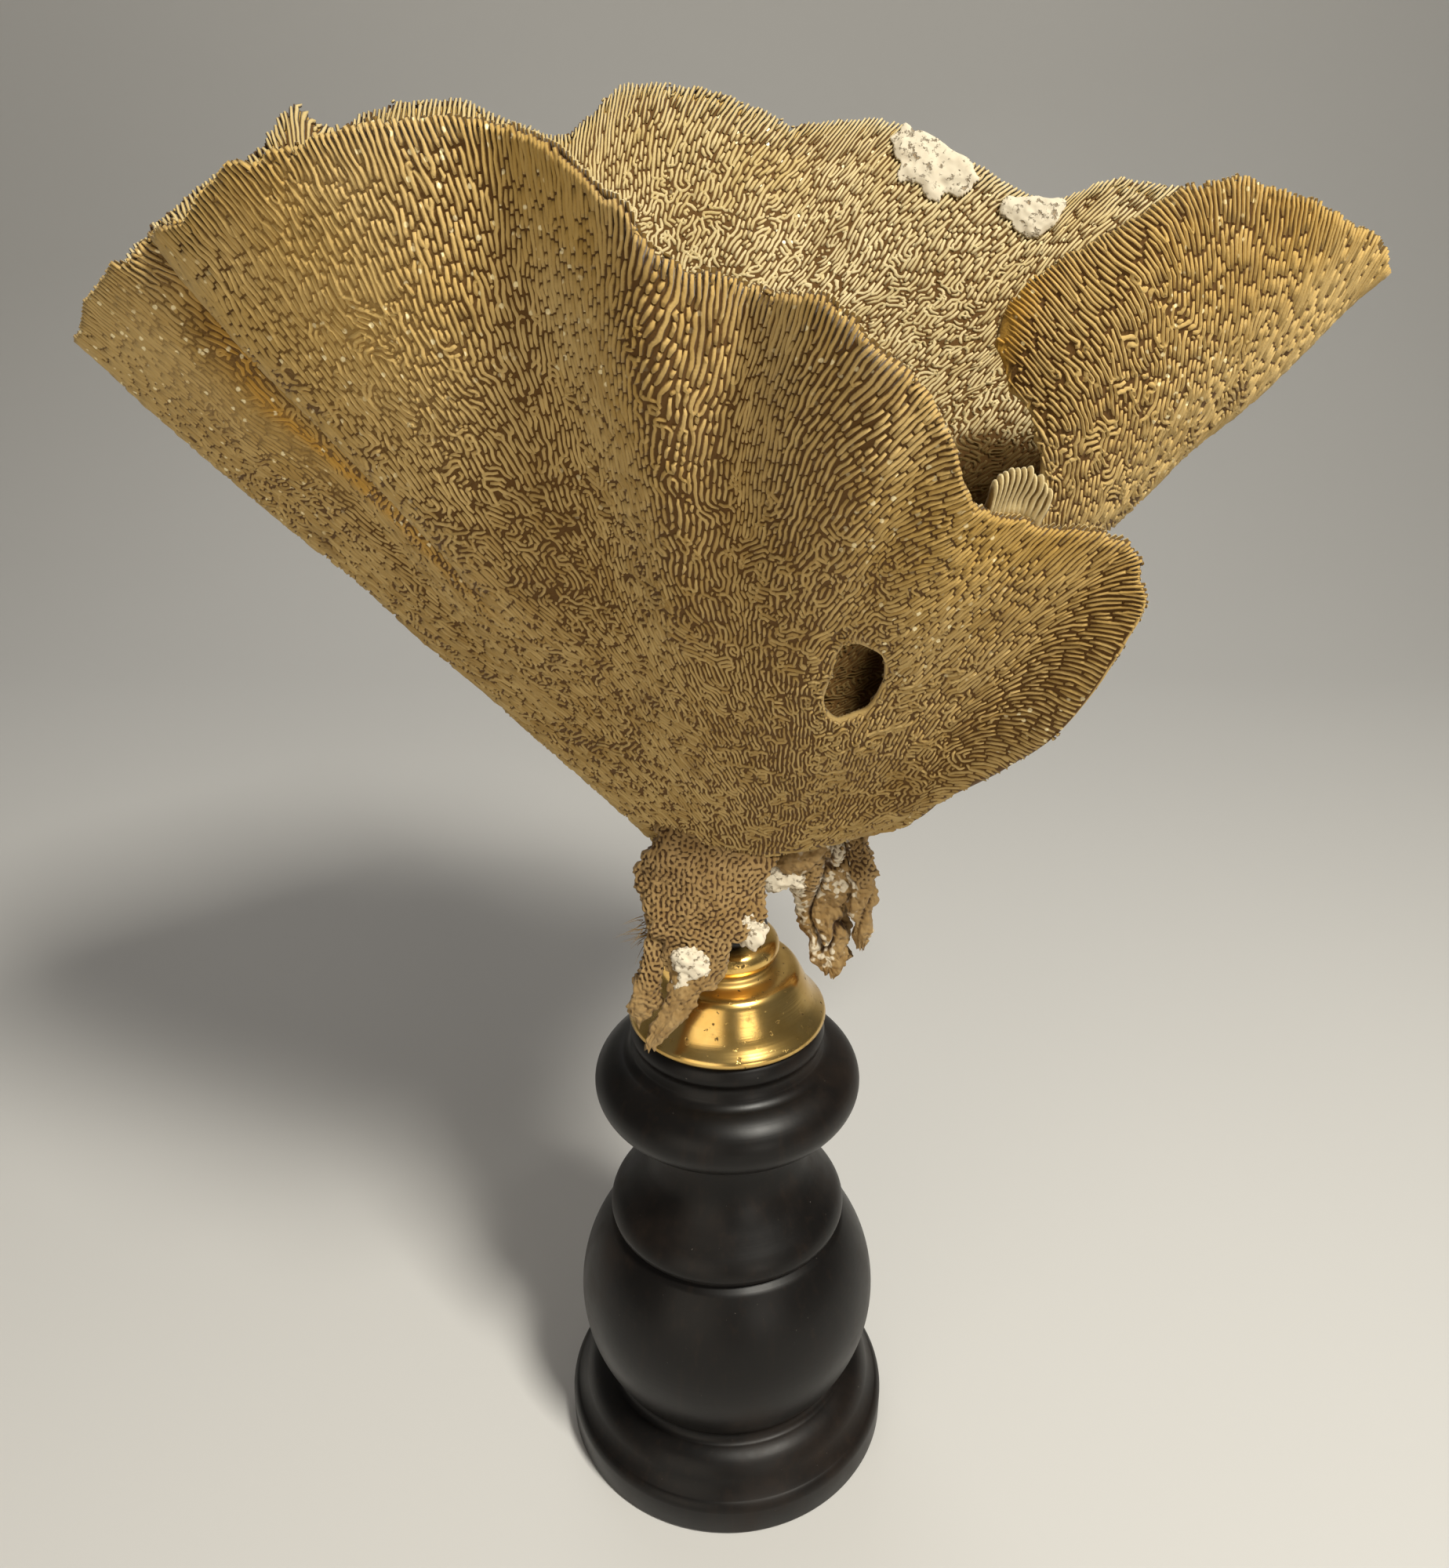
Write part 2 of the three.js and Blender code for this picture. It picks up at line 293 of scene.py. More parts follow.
@dataclass(frozen=True)
class SpongeFinish:
    """Dry horny skeleton: pale ridges over dark grooves, their darkness partly painted shade, with painted
    shade deep inside the funnel, a painted glow and painted glints.
    """

    name: str
    ridge: Colour
    pale: Colour
    gold: Colour
    groove: Colour
    painted_glow: Colour = (0.62, 0.33, 0.035)
    painted_glint_colour: Colour = (1.0, 0.86, 0.5)
    lime: Colour = (0.6, 0.52, 0.38)
    lime_groove: Colour = (0.4, 0.33, 0.24)
    cloud_scale: float = 38.0
    mottle_scale: float = 210.0
    speck_scale: float = 2600.0
    rim_drift_scale: float = 24.0
    stain_scale: float = 95.0
    spark_scale: float = 430.0
    spark_zone_scale: float = 17.0
    rim_share: float = 0.55
    painted_shade_below: float = 0.6
    painted_glint_strength: float = 0.0
    painted_shade_inside: float = 0.0

    def build(self) -> bpy.types.Material:
        """Makes the sponge's material.

        Returns:
            The material.
        """
        g = Graph(self.name)
        crest = g.attribute("crest")
        grain = g.attribute("grain")
        span = g.attribute("span")
        cloud = g.noise(self.cloud_scale)
        mottle = g.noise(self.mottle_scale, 4.0)
        speck = g.noise(self.speck_scale, 2.0)
        tone = g.step(cloud * 0.55 + grain * 0.3 + mottle * 0.35, 0.34, 0.86)
        body = g.mix(tone, self.ridge, self.pale)
        rim = g.step(span, 0.5, 1.0)
        drift = g.step(g.noise(self.rim_drift_scale, 2.0), 0.38, 0.66)
        body = g.mix(rim * (1.0 - drift) * self.rim_share, body, self.pale)
        body = g.mix(rim * drift * self.rim_share, body, self.gold)
        stain = g.step(g.noise(self.stain_scale), 0.6, 0.78)
        body = g.mix(stain * 0.45, body, self.groove)
        # Painted glow: an amber colour painted in where light shines through the thin sheet, along the
        # crease and on the right lobe.
        glow = g.attribute("painted_glow")
        body = g.mix(glow * 0.85, body, self.painted_glow)
        # Painted shade: deep in the funnel, below a set level up the ribs, the inside darkens towards the
        # groove colour.
        deep = 1.0 - g.step(span + (speck - 0.5) * 0.03, self.painted_shade_below, self.painted_shade_below + 0.035)
        body = g.mix(deep * self.painted_shade_inside, body, self.groove)
        chalk = g.step(g.attribute("chalk") + (mottle - 0.5) * 0.8, 0.3, 0.7)
        body = g.mix(chalk, body, self.lime)
        # Each ridge runs from the groove colour at its foot to its own colour at its top: partly the
        # grooves' own darker colour and partly painted shade in them.
        lit = g.step(crest + (speck - 0.5) * 0.3, 0.12, 0.62)
        colour = g.mix(lit, g.mix(chalk * 0.6, self.groove, self.lime_groove), body)
        # Painted glints: bright gold dots painted into the colour on the upper outside and along the glow,
        # with a real glossy coat and lower roughness on them.
        zone = g.step(span, 0.5, 0.8) * g.step(g.noise(self.spark_zone_scale, 2.0), 0.45, 0.64) + glow
        glint = g.dots(self.spark_scale, 0.2) * g.step(zone, 0.0, 0.5) * self.painted_glint_strength
        colour = g.mix(glint, colour, self.painted_glint_colour)
        rough = 0.86 - 0.5 * glint - 0.2 * glow - 0.12 * speck
        normal = g.bump(speck * 0.6 + mottle * 0.4, 0.16, 0.7)
        return g.finish(Base_Color=colour, Roughness=rough, Coat_Weight=glint * 0.5, Coat_Roughness=0.25,
                        Normal=normal, Sheen_Weight=0.12, Specular_IOR_Level=0.35)


@dataclass(frozen=True)
class EbonyFinish:
    """Satin black turned wood, rubbed brown, with dust in it."""

    name: str = "ebonised_wood"
    black: Colour = (0.005, 0.0042, 0.0038)
    brown: Colour = (0.022, 0.013, 0.008)
    dust: Colour = (0.16, 0.14, 0.12)

    def build(self) -> bpy.types.Material:
        """Makes the stand's material.

        Returns:
            The material.
        """
        g = Graph(self.name)
        worn = g.step(g.noise(26.0, 5.0, 0.62), 0.46, 0.72)
        grain = g.noise(60.0, 4.0, 0.6, g.stretched(9.0, 9.0, 0.9))
        rings = g.noise(300.0, 2.0, 0.5, g.stretched(0.12, 0.12, 6.0))
        colour = g.mix(worn * 0.6 + g.step(grain, 0.5, 0.75) * 0.25, self.black, self.brown)
        mote = g.step(g.noise(1500.0, 1.0), 0.79, 0.82)
        colour = g.mix(mote * 0.5, colour, self.dust)
        smear = g.noise(75.0, 5.0, 0.65)
        rough = 0.27 + 0.2 * smear + 0.14 * worn + 0.2 * mote
        normal = g.bump(rings * 0.5 + grain * 0.5, 0.05, 0.5)
        return g.finish(Base_Color=colour, Roughness=rough, Normal=normal, Specular_IOR_Level=0.25)


@dataclass(frozen=True)
class BrassFinish:
    """Polished brass, pitted and tarnished."""

    name: str = "brass"
    bright: Colour = (0.9, 0.62, 0.22)
    deep: Colour = (0.7, 0.42, 0.1)
    tarnish: Colour = (0.045, 0.026, 0.012)

    def build(self) -> bpy.types.Material:
        """Makes the collar's material.

        Returns:
            The material.
        """
        g = Graph(self.name)
        cloud = g.noise(70.0, 4.0, 0.6)
        pit = g.step(g.noise(620.0, 3.0, 0.6), 0.64, 0.72)
        stain = g.step(g.noise(160.0, 5.0, 0.7), 0.56, 0.74)
        lathe = g.noise(420.0, 2.0, 0.5, g.stretched(0.1, 0.1, 6.0))
        dark = g.attribute("hollow")
        colour = g.mix(g.step(cloud, 0.3, 0.7), self.bright, self.deep)
        colour = g.mix(stain * 0.3 + pit * 0.85 + dark * 0.7, colour, self.tarnish)
        rough = 0.2 + 0.12 * stain + 0.3 * pit + 0.3 * dark + 0.06 * lathe
        normal = g.bump(lathe * 0.35 - pit * 0.65, 0.08, 0.6)
        return g.finish(Base_Color=colour, Roughness=rough, Metallic=1.0, Normal=normal)


@dataclass(frozen=True)
class PegFinish:
    """Dull black."""

    name: str = "black_peg"
    black: Colour = (0.004, 0.0038, 0.004)
    grey: Colour = (0.02, 0.019, 0.02)

    def build(self) -> bpy.types.Material:
        """Makes the peg's material.

        Returns:
            The material.
        """
        g = Graph(self.name)
        smear = g.noise(180.0, 4.0)
        colour = g.mix(g.step(smear, 0.45, 0.8), self.black, self.grey)
        return g.finish(Base_Color=colour, Roughness=0.4 + 0.25 * smear, Normal=g.bump(smear, 0.1, 0.5))


@dataclass(frozen=True)
class LimeFinish:
    """Chalky shell lime with stained pits."""

    name: str = "lime_crust"
    white: Colour = (0.72, 0.64, 0.49)
    stain: Colour = (0.3, 0.2, 0.1)

    def build(self) -> bpy.types.Material:
        """Makes the crust's material.

        Returns:
            The material.
        """
        g = Graph(self.name)
        pit = g.step(g.noise(700.0, 5.0, 0.65), 0.54, 0.66)
        cloud = g.noise(220.0, 3.0)
        colour = g.mix(pit * 0.8 + g.step(cloud, 0.5, 0.85) * 0.35, self.white, self.stain)
        normal = g.bump(cloud * 0.4 - pit * 0.6, 0.5, 1.0)
        return g.finish(Base_Color=colour, Roughness=0.82 + 0.12 * cloud, Normal=normal)


@dataclass(frozen=True)
class FloorFinish:
    """Plain pale paper sweep."""

    name: str = "pale_sweep"
    pale: Colour = (0.7, 0.69, 0.67)
    shade: Colour = (0.66, 0.65, 0.63)

    def build(self) -> bpy.types.Material:
        """Makes the floor's material.

        Returns:
            The material.
        """
        g = Graph(self.name)
        return g.finish(Base_Color=g.mix(g.noise(3.0, 2.0), self.pale, self.shade), Roughness=0.85)


def ramp(value: Array, start: float, length: float) -> Array:
    """A straight rise from 0 at the start to 1, a length further on."""
    return np.clip((value - start) / length, 0.0, 1.0)


def ease(t: Array) -> Array:
    """A rise from 0 to 1 that starts and ends softly."""
    return t * t * (3.0 - 2.0 * t)


def every_pair(a: Array, b: Array) -> Tuple[Array, Array]:
    """Each value of a with each value of b, as two flat lists."""
    first, second = np.meshgrid(a, b, indexing="ij")
    return first.ravel(), second.ravel()


@dataclass(frozen=True)
class Layer:
    """One layer of noise: its strength, its lumps' pitch, where it is read and its scale along Z."""

    weight: float
    pitch: float
    shift: float = 0.0
    upright: float = 1.0


class ValueNoise:
    """Smooth seeded noise from -1 to 1 at points in space."""

    SIZE = 48
    TILT = np.array([[0.36, 0.48, -0.8], [-0.8, 0.6, 0.0], [0.48, 0.64, 0.6]])

    def __init__(self, seed: int) -> None:
        """Fills the lattice from a seed."""
        self.lattice = np.random.default_rng(seed).uniform(-1.0, 1.0, (self.SIZE,) * 3)

    def at(self, points: Array, pitch: float) -> Array:
        """The noise at points.

        Args:
            points: the points, in millimetres.
            pitch: the distance between the noise's lumps.

        Returns:
            One value for each point.
        """
        scaled = np.asarray(points, float) @ self.TILT / pitch
        cell = np.floor(scaled).astype(int)
        t = ease(scaled - cell)
        total = np.zeros(scaled.shape[:-1])
        for corner in itertools.product((0, 1), repeat=3):
            share = np.prod(np.where(np.array(corner) == 1, t, 1.0 - t), axis=-1)
            i, j, k = ((cell[..., a] + corner[a]) % self.SIZE for a in range(3))
            total += share * self.lattice[i, j, k]
        return total

    def mixed(self, points: Array, layers: Sequence[Layer], start: Any = 0.0) -> Array:
        """Layers of the noise added up.

        Args:
            points: the points, in millimetres.
            layers: the layers.
            start: what they are added to, one number or one for each point.

        Returns:
            One value for each point.
        """
        total = np.zeros(len(points)) + start
        for layer in layers:
            spots = points * np.array([1.0, 1.0, layer.upright]) + layer.shift
            total += layer.weight * self.at(spots, layer.pitch)
        return total

    def along(self, distance: Array, pitch: float, row: float = 0.5) -> Array:
        """The noise along a line, at distances in millimetres."""
        line = np.stack([distance, np.full_like(distance, row * pitch), np.zeros_like(distance)], -1)
        return self.at(line, pitch)


def unit(vectors: Array) -> Array:
    """The vectors at length 1."""
    return vectors / np.maximum(np.linalg.norm(vectors, axis=-1, keepdims=True), 1e-9)


def spline(points: Array, places: Array) -> Array:
    """A smooth curve through points.

    Args:
        points: the points, one a row.
        places: where to read it, from 0 to 1.

    Returns:
        One point for each place.
    """
    padded = np.vstack([2 * points[0] - points[1], points, 2 * points[-1] - points[-2]])
    spans = len(points) - 1
    where = np.clip(places, 0.0, 1.0) * spans
    i = np.minimum(where.astype(int), spans - 1)
    t = (where - i)[..., None]
    a, b, c, d = (padded[i + k] for k in range(4))
    bend = 2 * a - 5 * b + 4 * c - d
    twist = 3 * b - a - 3 * c + d
    return 0.5 * (2 * b + (c - a) * t + bend * t**2 + twist * t**3)


def make_mesh(name: str, points: Array, quads: Array,
              numbers: Optional[Dict[str, Array]] = None) -> bpy.types.Object:
    """A mesh object, shaded smooth.

    Args:
        name: the piece's name.
        points: its points, in millimetres.
        quads: four point numbers for each face; a triangle repeats its last one.
        numbers: values that each point carries, by name.

    Returns:
        The object, in the scene.
    """
    mesh = bpy.data.meshes.new(name)
    quads = np.asarray(quads, int)
    triangle = quads[:, 3] == quads[:, 2]
    sizes = np.where(triangle, 3, 4)
    loops = quads[np.arange(4)[None, :] < sizes[:, None]]
    mesh.vertices.add(len(points))
    mesh.vertices.foreach_set("co", (np.asarray(points, float) * MM).ravel())
    mesh.loops.add(len(loops))
    mesh.loops.foreach_set("vertex_index", loops)
    mesh.polygons.add(len(quads))
    mesh.polygons.foreach_set("loop_start", np.concatenate([[0], np.cumsum(sizes)[:-1]]))
    mesh.polygons.foreach_set("use_smooth", np.full(len(quads), True))
    mesh.update(calc_edges=True)
    for key, values in (numbers or {}).items():
        mesh.attributes.new(key, "FLOAT", "POINT").data.foreach_set("value", np.asarray(values, float))
    made = bpy.data.objects.new(name, mesh)
    bpy.context.collection.objects.link(made)
    return made


def dress(piece: bpy.types.Object, material: bpy.types.Material, slot: Slot, *nodes: str) -> None:
    """Gives a piece its material and body, and hides the nodes that it stands for.

    Args:
        piece: the piece.
        material: its material.
        slot: the record's slot; not used.
        *nodes: the CAD nodes that it replaces.
    """
    piece.data.materials.append(material)
    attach(piece, BODY)
    if nodes:
        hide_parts(*nodes)
    LOG.info("%s: %d faces", piece.name, len(piece.data.polygons))


def grid_quads(columns: int, rows: int, closed: bool = False) -> Array:
    """Faces of a grid of points, numbered along the rows of each column.

    Args:
        columns: how many columns of points.
        rows: how many points in a column.
        closed: whether the last column joins the first.

    Returns:
        Four point numbers for each face.
    """
    last = columns if closed else columns - 1
    i, j = np.meshgrid(np.arange(last), np.arange(rows - 1), indexing="ij")
    here = i * rows + j
    beside = ((i + 1) % columns) * rows + j
    return np.stack([here, here + 1, beside + 1, beside], -1).reshape(-1, 4)


def tube_faces(around: int, rows: int, rising: bool = True) -> Array:
    """Faces of a closed tube: rings of points, then one more point at the first end and one at the last.

    Args:
        around: how many points go round.
        rows: how many rings there are.
        rising: whether the rings go up from the first end, and not down.

    Returns:
        Four point numbers for each face; a triangle repeats its last one.
    """
    sides = grid_quads(around, rows, closed=True)
    here = np.arange(around) * rows
    beside = np.roll(here, -1)
    if rising:
        sides = sides[:, ::-1]
        here, beside = beside, here
    first = np.full(around, around * rows)
    end = rows - 1
    caps = [np.stack([first, here, beside, beside], -1),
            np.stack([first + 1, beside + end, here + end, here + end], -1)]
    return np.concatenate([sides] + caps)


def in_use(faces: Array) -> Tuple[Array, Array]:
    """Finds the points that faces use.

    Args:
        faces: the faces, by their point numbers.

    Returns:
        The numbers of the points in use, and the faces numbered by those points alone.
    """
    used = np.unique(faces)
    return used, np.searchsorted(used, faces)


def shell_quads(outer: Array, offset: int) -> Array:
    """Faces of a closed shell from the faces of its outer side.

    Args:
        outer: the outer side's faces.
        offset: what takes an outer point's number to the inner point behind it.

    Returns:
        The faces of both sides and of the wall along each free edge.
    """
    edges = np.concatenate([outer[:, [k, (k + 1) % 4]] for k in range(4)])
    key = np.sort(edges, axis=1)
    _, first, count = np.unique(key, axis=0, return_index=True, return_counts=True)
    free = edges[first[count == 1]]
    wall = np.stack([free[:, 1], free[:, 0], free[:, 0] + offset, free[:, 1] + offset], -1)
    return np.concatenate([outer, outer[:, ::-1] + offset, wall])


MARGIN = np.array([
    # front right lobe
    [28, -6, 163], [36, -14, 171], [42, -21, 182], [52, -31, 193], [58, -38, 205], [61.5, -42, 217],
    [62, -42, 225], [59, -41, 230], [50, -43, 232.5], [41, -46, 235], [34, -51, 238],
    # front wall
    [30.5, -57, 245], [25.5, -62, 254.5], [18, -67, 262], [11, -66, 266], [3, -58, 266.5], [-5, -58.5, 270],
    [-12, -60, 276.5], [-22, -52, 282], [-32.5, -45, 285], [-45, -42, 285], [-56, -39, 283.5],
    [-67, -35, 279.5], [-77, -29, 275.5],
    # crease and left tip
    [-85.5, -20, 271.5], [-91, -19, 267.5], [-101, -11, 261], [-109.5, 0, 253.5], [-108, 9, 259.5],
    [-98, 15, 271],
    # back wall, with its small pointed leaflet
    [-82.5, 21, 282], [-79, 23, 285], [-74.5, 25, 289], [-70, 27, 286], [-57, 32, 289.5], [-46, 38, 290],
    [-35, 46, 285], [-27.5, 52, 287.5], [-19.5, 56, 293.5], [-7, 58, 294.5], [5, 57, 290.5],
    [17, 58, 286.5], [32, 58, 287], [45.5, 54, 282], [61, 47, 274], [73.5, 45, 277.5], [85, 42, 276],
    [98, 37, 272.5], [110, 28, 268],
    # right tip and right lobe
    [114.5, 14, 263], [105.5, 4, 270], [95, -2, 274], [79, -7, 278], [70, -8, 276], [60.5, -6, 271],
    [51.5, -4, 267], [46, -2, 261], [45, 0, 253], [48, 1, 244], [54, 2, 234.5], [57.5, 3, 224],
    [54, 3, 207.5], [41.5, 4, 180], [25.5, 3, 160],
])


@dataclass(frozen=True)
class Fold:
    """A soft valley or swelling along a line up the leaf, growing from its low end to its high end."""

    low: Pair
    high: Pair
    width: float
    depth: float
    closing: float = 0.0

    def share(self, u: Array, v: Array) -> Array:
        """How much of the fold there is at places of the leaf.

        Args:
            u: the places along the margin.
            v: the places up the ribs.

        Returns:
            The fold's share, from 0 to 1.
        """
        past_end = 1.2
        t = np.clip((v - self.low[1]) / (self.high[1] - self.low[1]), 0.0, past_end)
        middle = self.low[0] + (self.high[0] - self.low[0]) * t
        grown = ease(np.minimum(t, 1.0))
        left = 1.0 - self.closing * ramp(v, self.high[1], 1.0 - self.high[1]) ** 2
        return grown * left * np.exp(-(((u - middle) / self.width) ** 2))

    def lift(self, u: Array, v: Array) -> Array:
        """How far outward the fold moves the leaf, in millimetres."""
        return self.depth * self.share(u, v)


CREASE = Fold((0.341, 0.42), (0.3805, 0.85), 0.0058, -4.6)
# Bands of painted glow, light shining through the thin sheet: along the crease and on the right lobe.
PAINTED_GLOW = (Fold((0.341, 0.4), (0.3805, 0.72), 0.0042, 0.0, 1.0), Fold((0.888, 0.6), (0.888, 0.9), 0.014, 0.0))
WORN = (Fold((0.356, 0.4), (0.398, 0.8), 0.02, 0.0), Fold((0.888, 0.7), (0.888, 0.9), 0.012, 0.0))
# Patches painted paler where light falls: the upper left of the front wall and the right lobe.
PAINTED_LIGHT = (Fold((0.325, 0.5), (0.335, 0.85), 0.028, 0.0), Fold((0.84, 0.3), (0.84, 0.8), 0.05, 0.0))
FOLDS = (
    Fold((0.285, 0.05), (0.285, 0.5), 0.07, 3.0, 1.0),
    Fold((0.322, 0.25), (0.334, 0.72), 0.026, 5.0, 1.0),
    CREASE,
    Fold((0.326, 0.38), (0.361, 0.85), 0.011, 2.6),
    Fold((0.285, 0.35), (0.297, 0.85), 0.014, -2.2),
    Fold((0.262, 0.35), (0.264, 0.8), 0.012, 1.8),
    Fold((0.236, 0.45), (0.236, 0.9), 0.01, -2.0),
    Fold((0.207, 0.5), (0.205, 0.9), 0.012, 1.5),
    Fold((0.62, 0.3), (0.6, 0.8), 0.02, 1.6),
    Fold((0.9, 0.4), (0.88, 0.85), 0.014, 1.6),
)


def most(folds: Sequence[Fold], u: Array, v: Array) -> Array:
    """The largest share of several folds at places of the leaf."""
    return np.max([fold.share(u, v) for fold in folds], axis=0)


@dataclass
class LeafSurface:
    """The leaf's middle surface: u runs along its margin and v from the stalk up to the margin."""

    margin: Array = field(default_factory=lambda: MARGIN)
    stalk_x: float = 7.0
    stalk_z: float = 160.0
    stalk_slope: float = 0.15
    stalk_start: Spot = (-25.0, 21.0, 9.0)
    stalk_end: Spot = (-375.0, 16.0, 5.0)
    bulge: float = 1.0
    bulge_length: float = 100.0
    frill_fade: float = 1.8
    frill_span: float = 0.03
    swell: float = 0.7
    swell_pitch: float = 15.0
    nibble: float = 0.009
    margin_length: float = 720.0
    nibble_pitch: float = 7.0
    fine_pitch: float = 2.6
    chip_pitch: float = 21.0
    half_thickness: float = 1.1
    half_margin: float = 0.45
    thin_from: float = 0.86
    thin_over: float = 0.13
    folds: Sequence[Fold] = FOLDS
    noise: ValueNoise = field(default_factory=lambda: ValueNoise(7))

    def half(self, v: Array) -> Array:
        """Half the ground's thickness, which thins towards the margin."""
        thinned = ease(ramp(v, self.thin_from, self.thin_over))
        return self.half_thickness + (self.half_margin - self.half_thickness) * thinned

    def stalk(self, u: Array) -> Array:
        """Points where the leaf leaves the stalk.

        Args:
            u: places along the margin.

        Returns:
            One point for each place.
        """
        angle, half_x, half_y = (a + (b - a) * u for a, b in zip(self.stalk_start, self.stalk_end))
        dx = half_x * np.cos(np.radians(angle))
        dy = half_y * np.sin(np.radians(angle))
        return np.stack([self.stalk_x + dx, dy, self.stalk_z + self.stalk_slope * dx], -1)

    def calm(self, u: Array) -> Array:
        """Points of the margin without its frills."""
        span = np.minimum(self.frill_span, np.minimum(u, 1.0 - u))
        return sum(spline(self.margin, u + span * k / 3.0) for k in range(-3, 4)) / 7.0

    def reach(self, u: Array) -> Array:
        """How far up the ribs go, as the worn margin is nibbled.

        Args:
            u: places along the margin.

        Returns:
            The v at which the leaf ends there.
        """
        place = u * self.margin_length
        fine = self.noise.along(place, self.fine_pitch, 3.5)
        rough = self.noise.along(place, self.nibble_pitch) + 0.7 * fine
        chips = np.clip(self.noise.along(place, self.chip_pitch, 9.5) - 0.45, 0.0, 1.0)
        return 1.0 + self.nibble * rough - 3.0 * self.nibble * chips

    def point(self, u: Array, v: Array) -> Array:
        """Points of the surface.

        Args:
            u: places along the margin, from 0 to 1.
            v: places up the ribs, from 0 at the stalk to 1.

        Returns:
            The points, in millimetres.
        """
        root = self.stalk(u)
        calm = self.calm(u)
        frill = spline(self.margin, u) - calm
        run = calm - root
        out = unit(run * np.array([1.0, 1.0, 0.0]))
        down = out * run[..., 2:3]
        down[..., 2] = -np.sum(run * out, -1)
        length = np.linalg.norm(run, axis=-1)
        rise = np.clip(v, 0.0, None)
        lift = self.bulge * 4 * v * (1 - v) * np.minimum(1.0, length / self.bulge_length)
        p = root + run * v[..., None] + frill * (rise**self.frill_fade)[..., None]
        lift = lift + self.swell * self.noise.at(p, self.swell_pitch) * np.clip(v * 2.5, 0.0, 1.0)
        lift = lift + sum(fold.lift(u, v) for fold in self.folds)
        return p + unit(down) * lift[..., None]

    def frame(self, u: Array, v: Array) -> Tuple[Array, Array, Array, Array]:
        """Points with the surface's directions there.

        Args:
            u: places along the margin.
            v: places up the ribs.

        Returns:
            The points, the outward normals, and the slopes along u and along v.
        """
        du = 0.0012
        dv = 0.01
        u0 = np.maximum(u - du, 0.0)
        u1 = np.minimum(u + du, 1.0)
        along = (self.point(u1, v) - self.point(u0, v)) / (u1 - u0)[..., None]
        up = (self.point(u, v + dv) - self.point(u, v - dv)) / (2 * dv)
        return self.point(u, v), unit(np.cross(up, along)), along, up


@dataclass
class Hole:
    """An opening through the leaf, its outline in millimetres across and up the leaf."""

    u: float
    v: float
    outline: Sequence[Pair]
    depth: float = 12.0

    def place(self, surface: LeafSurface) -> None:
        """Finds the hole's centre, its two directions in the leaf, and its reach each way round.

        Args:
            surface: the leaf.
        """
        centre, _, along, up = surface.frame(np.array([self.u]), np.array([self.v]))
        self.centre = centre[0]
        self.up = unit(up)[0]
        self.across = unit(along[0] - self.up * np.dot(along[0], self.up))
        x, y = np.array(self.outline).T
        self.angles = np.arctan2(y, x)
        self.reaches = np.hypot(x, y)

    def radius(self, points: Array) -> Array:
        """How far points of the leaf are from the hole's middle.

        Args:
            points: the points.

        Returns:
            Their distances, 1 on the hole's edge.
        """
        away = points - self.centre
        x = away @ self.across
        y = away @ self.up
        edge = np.interp(np.arctan2(y, x), self.angles, self.reaches, period=TURN)
        near = np.abs(away @ np.cross(self.across, self.up)) < self.depth
        return np.where(near, np.hypot(x, y) / edge, FAR)


WORN_HOLE = Hole(0.1745, 0.541, (
    (-4.5, -4.6), (-4.3, 0.2), (-3.2, 3.8), (0.8, 8.4), (3.3, 9.2), (5.4, 7.7), (4.9, 4.2), (4.3, 0.8),
    (4.4, -4.3), (3.2, -7.5), (0.6, -9.9), (-1.8, -8.5), (-3.9, -7.5),
))
NOTCH_GAP = Hole(0.868, 0.7, (
    (6.8, 15.3), (1.4, 9.2), (-5.6, 3.3), (-9.3, -2.1), (-12.3, -6.7), (-11.2, -14.7), (-1.8, -17.0),
    (9.5, -8.0), (12.0, 6.0), (9.6, 14.5),
))


@dataclass
class Openings:
    """The openings through the leaf together."""

    holes: Sequence[Hole] = (WORN_HOLE, NOTCH_GAP)
    thin_zone: float = 0.9
    thinnest: float = 0.35

    def place(self, surface: LeafSurface) -> None:
        """Places each opening on the leaf."""
        for hole in self.holes:
            hole.place(surface)

    def radius(self, points: Array) -> Array:
        """How far points of the leaf are from the nearest opening's middle, 1 on its edge."""
        return np.min([hole.radius(points) for hole in self.holes], axis=0)

    def thinning(self, radius: Array) -> Array:
        """The share of the ground's thickness that is left near an opening."""
        return self.thinnest + (1.0 - self.thinnest) * ramp(radius, 1.0, self.thin_zone)


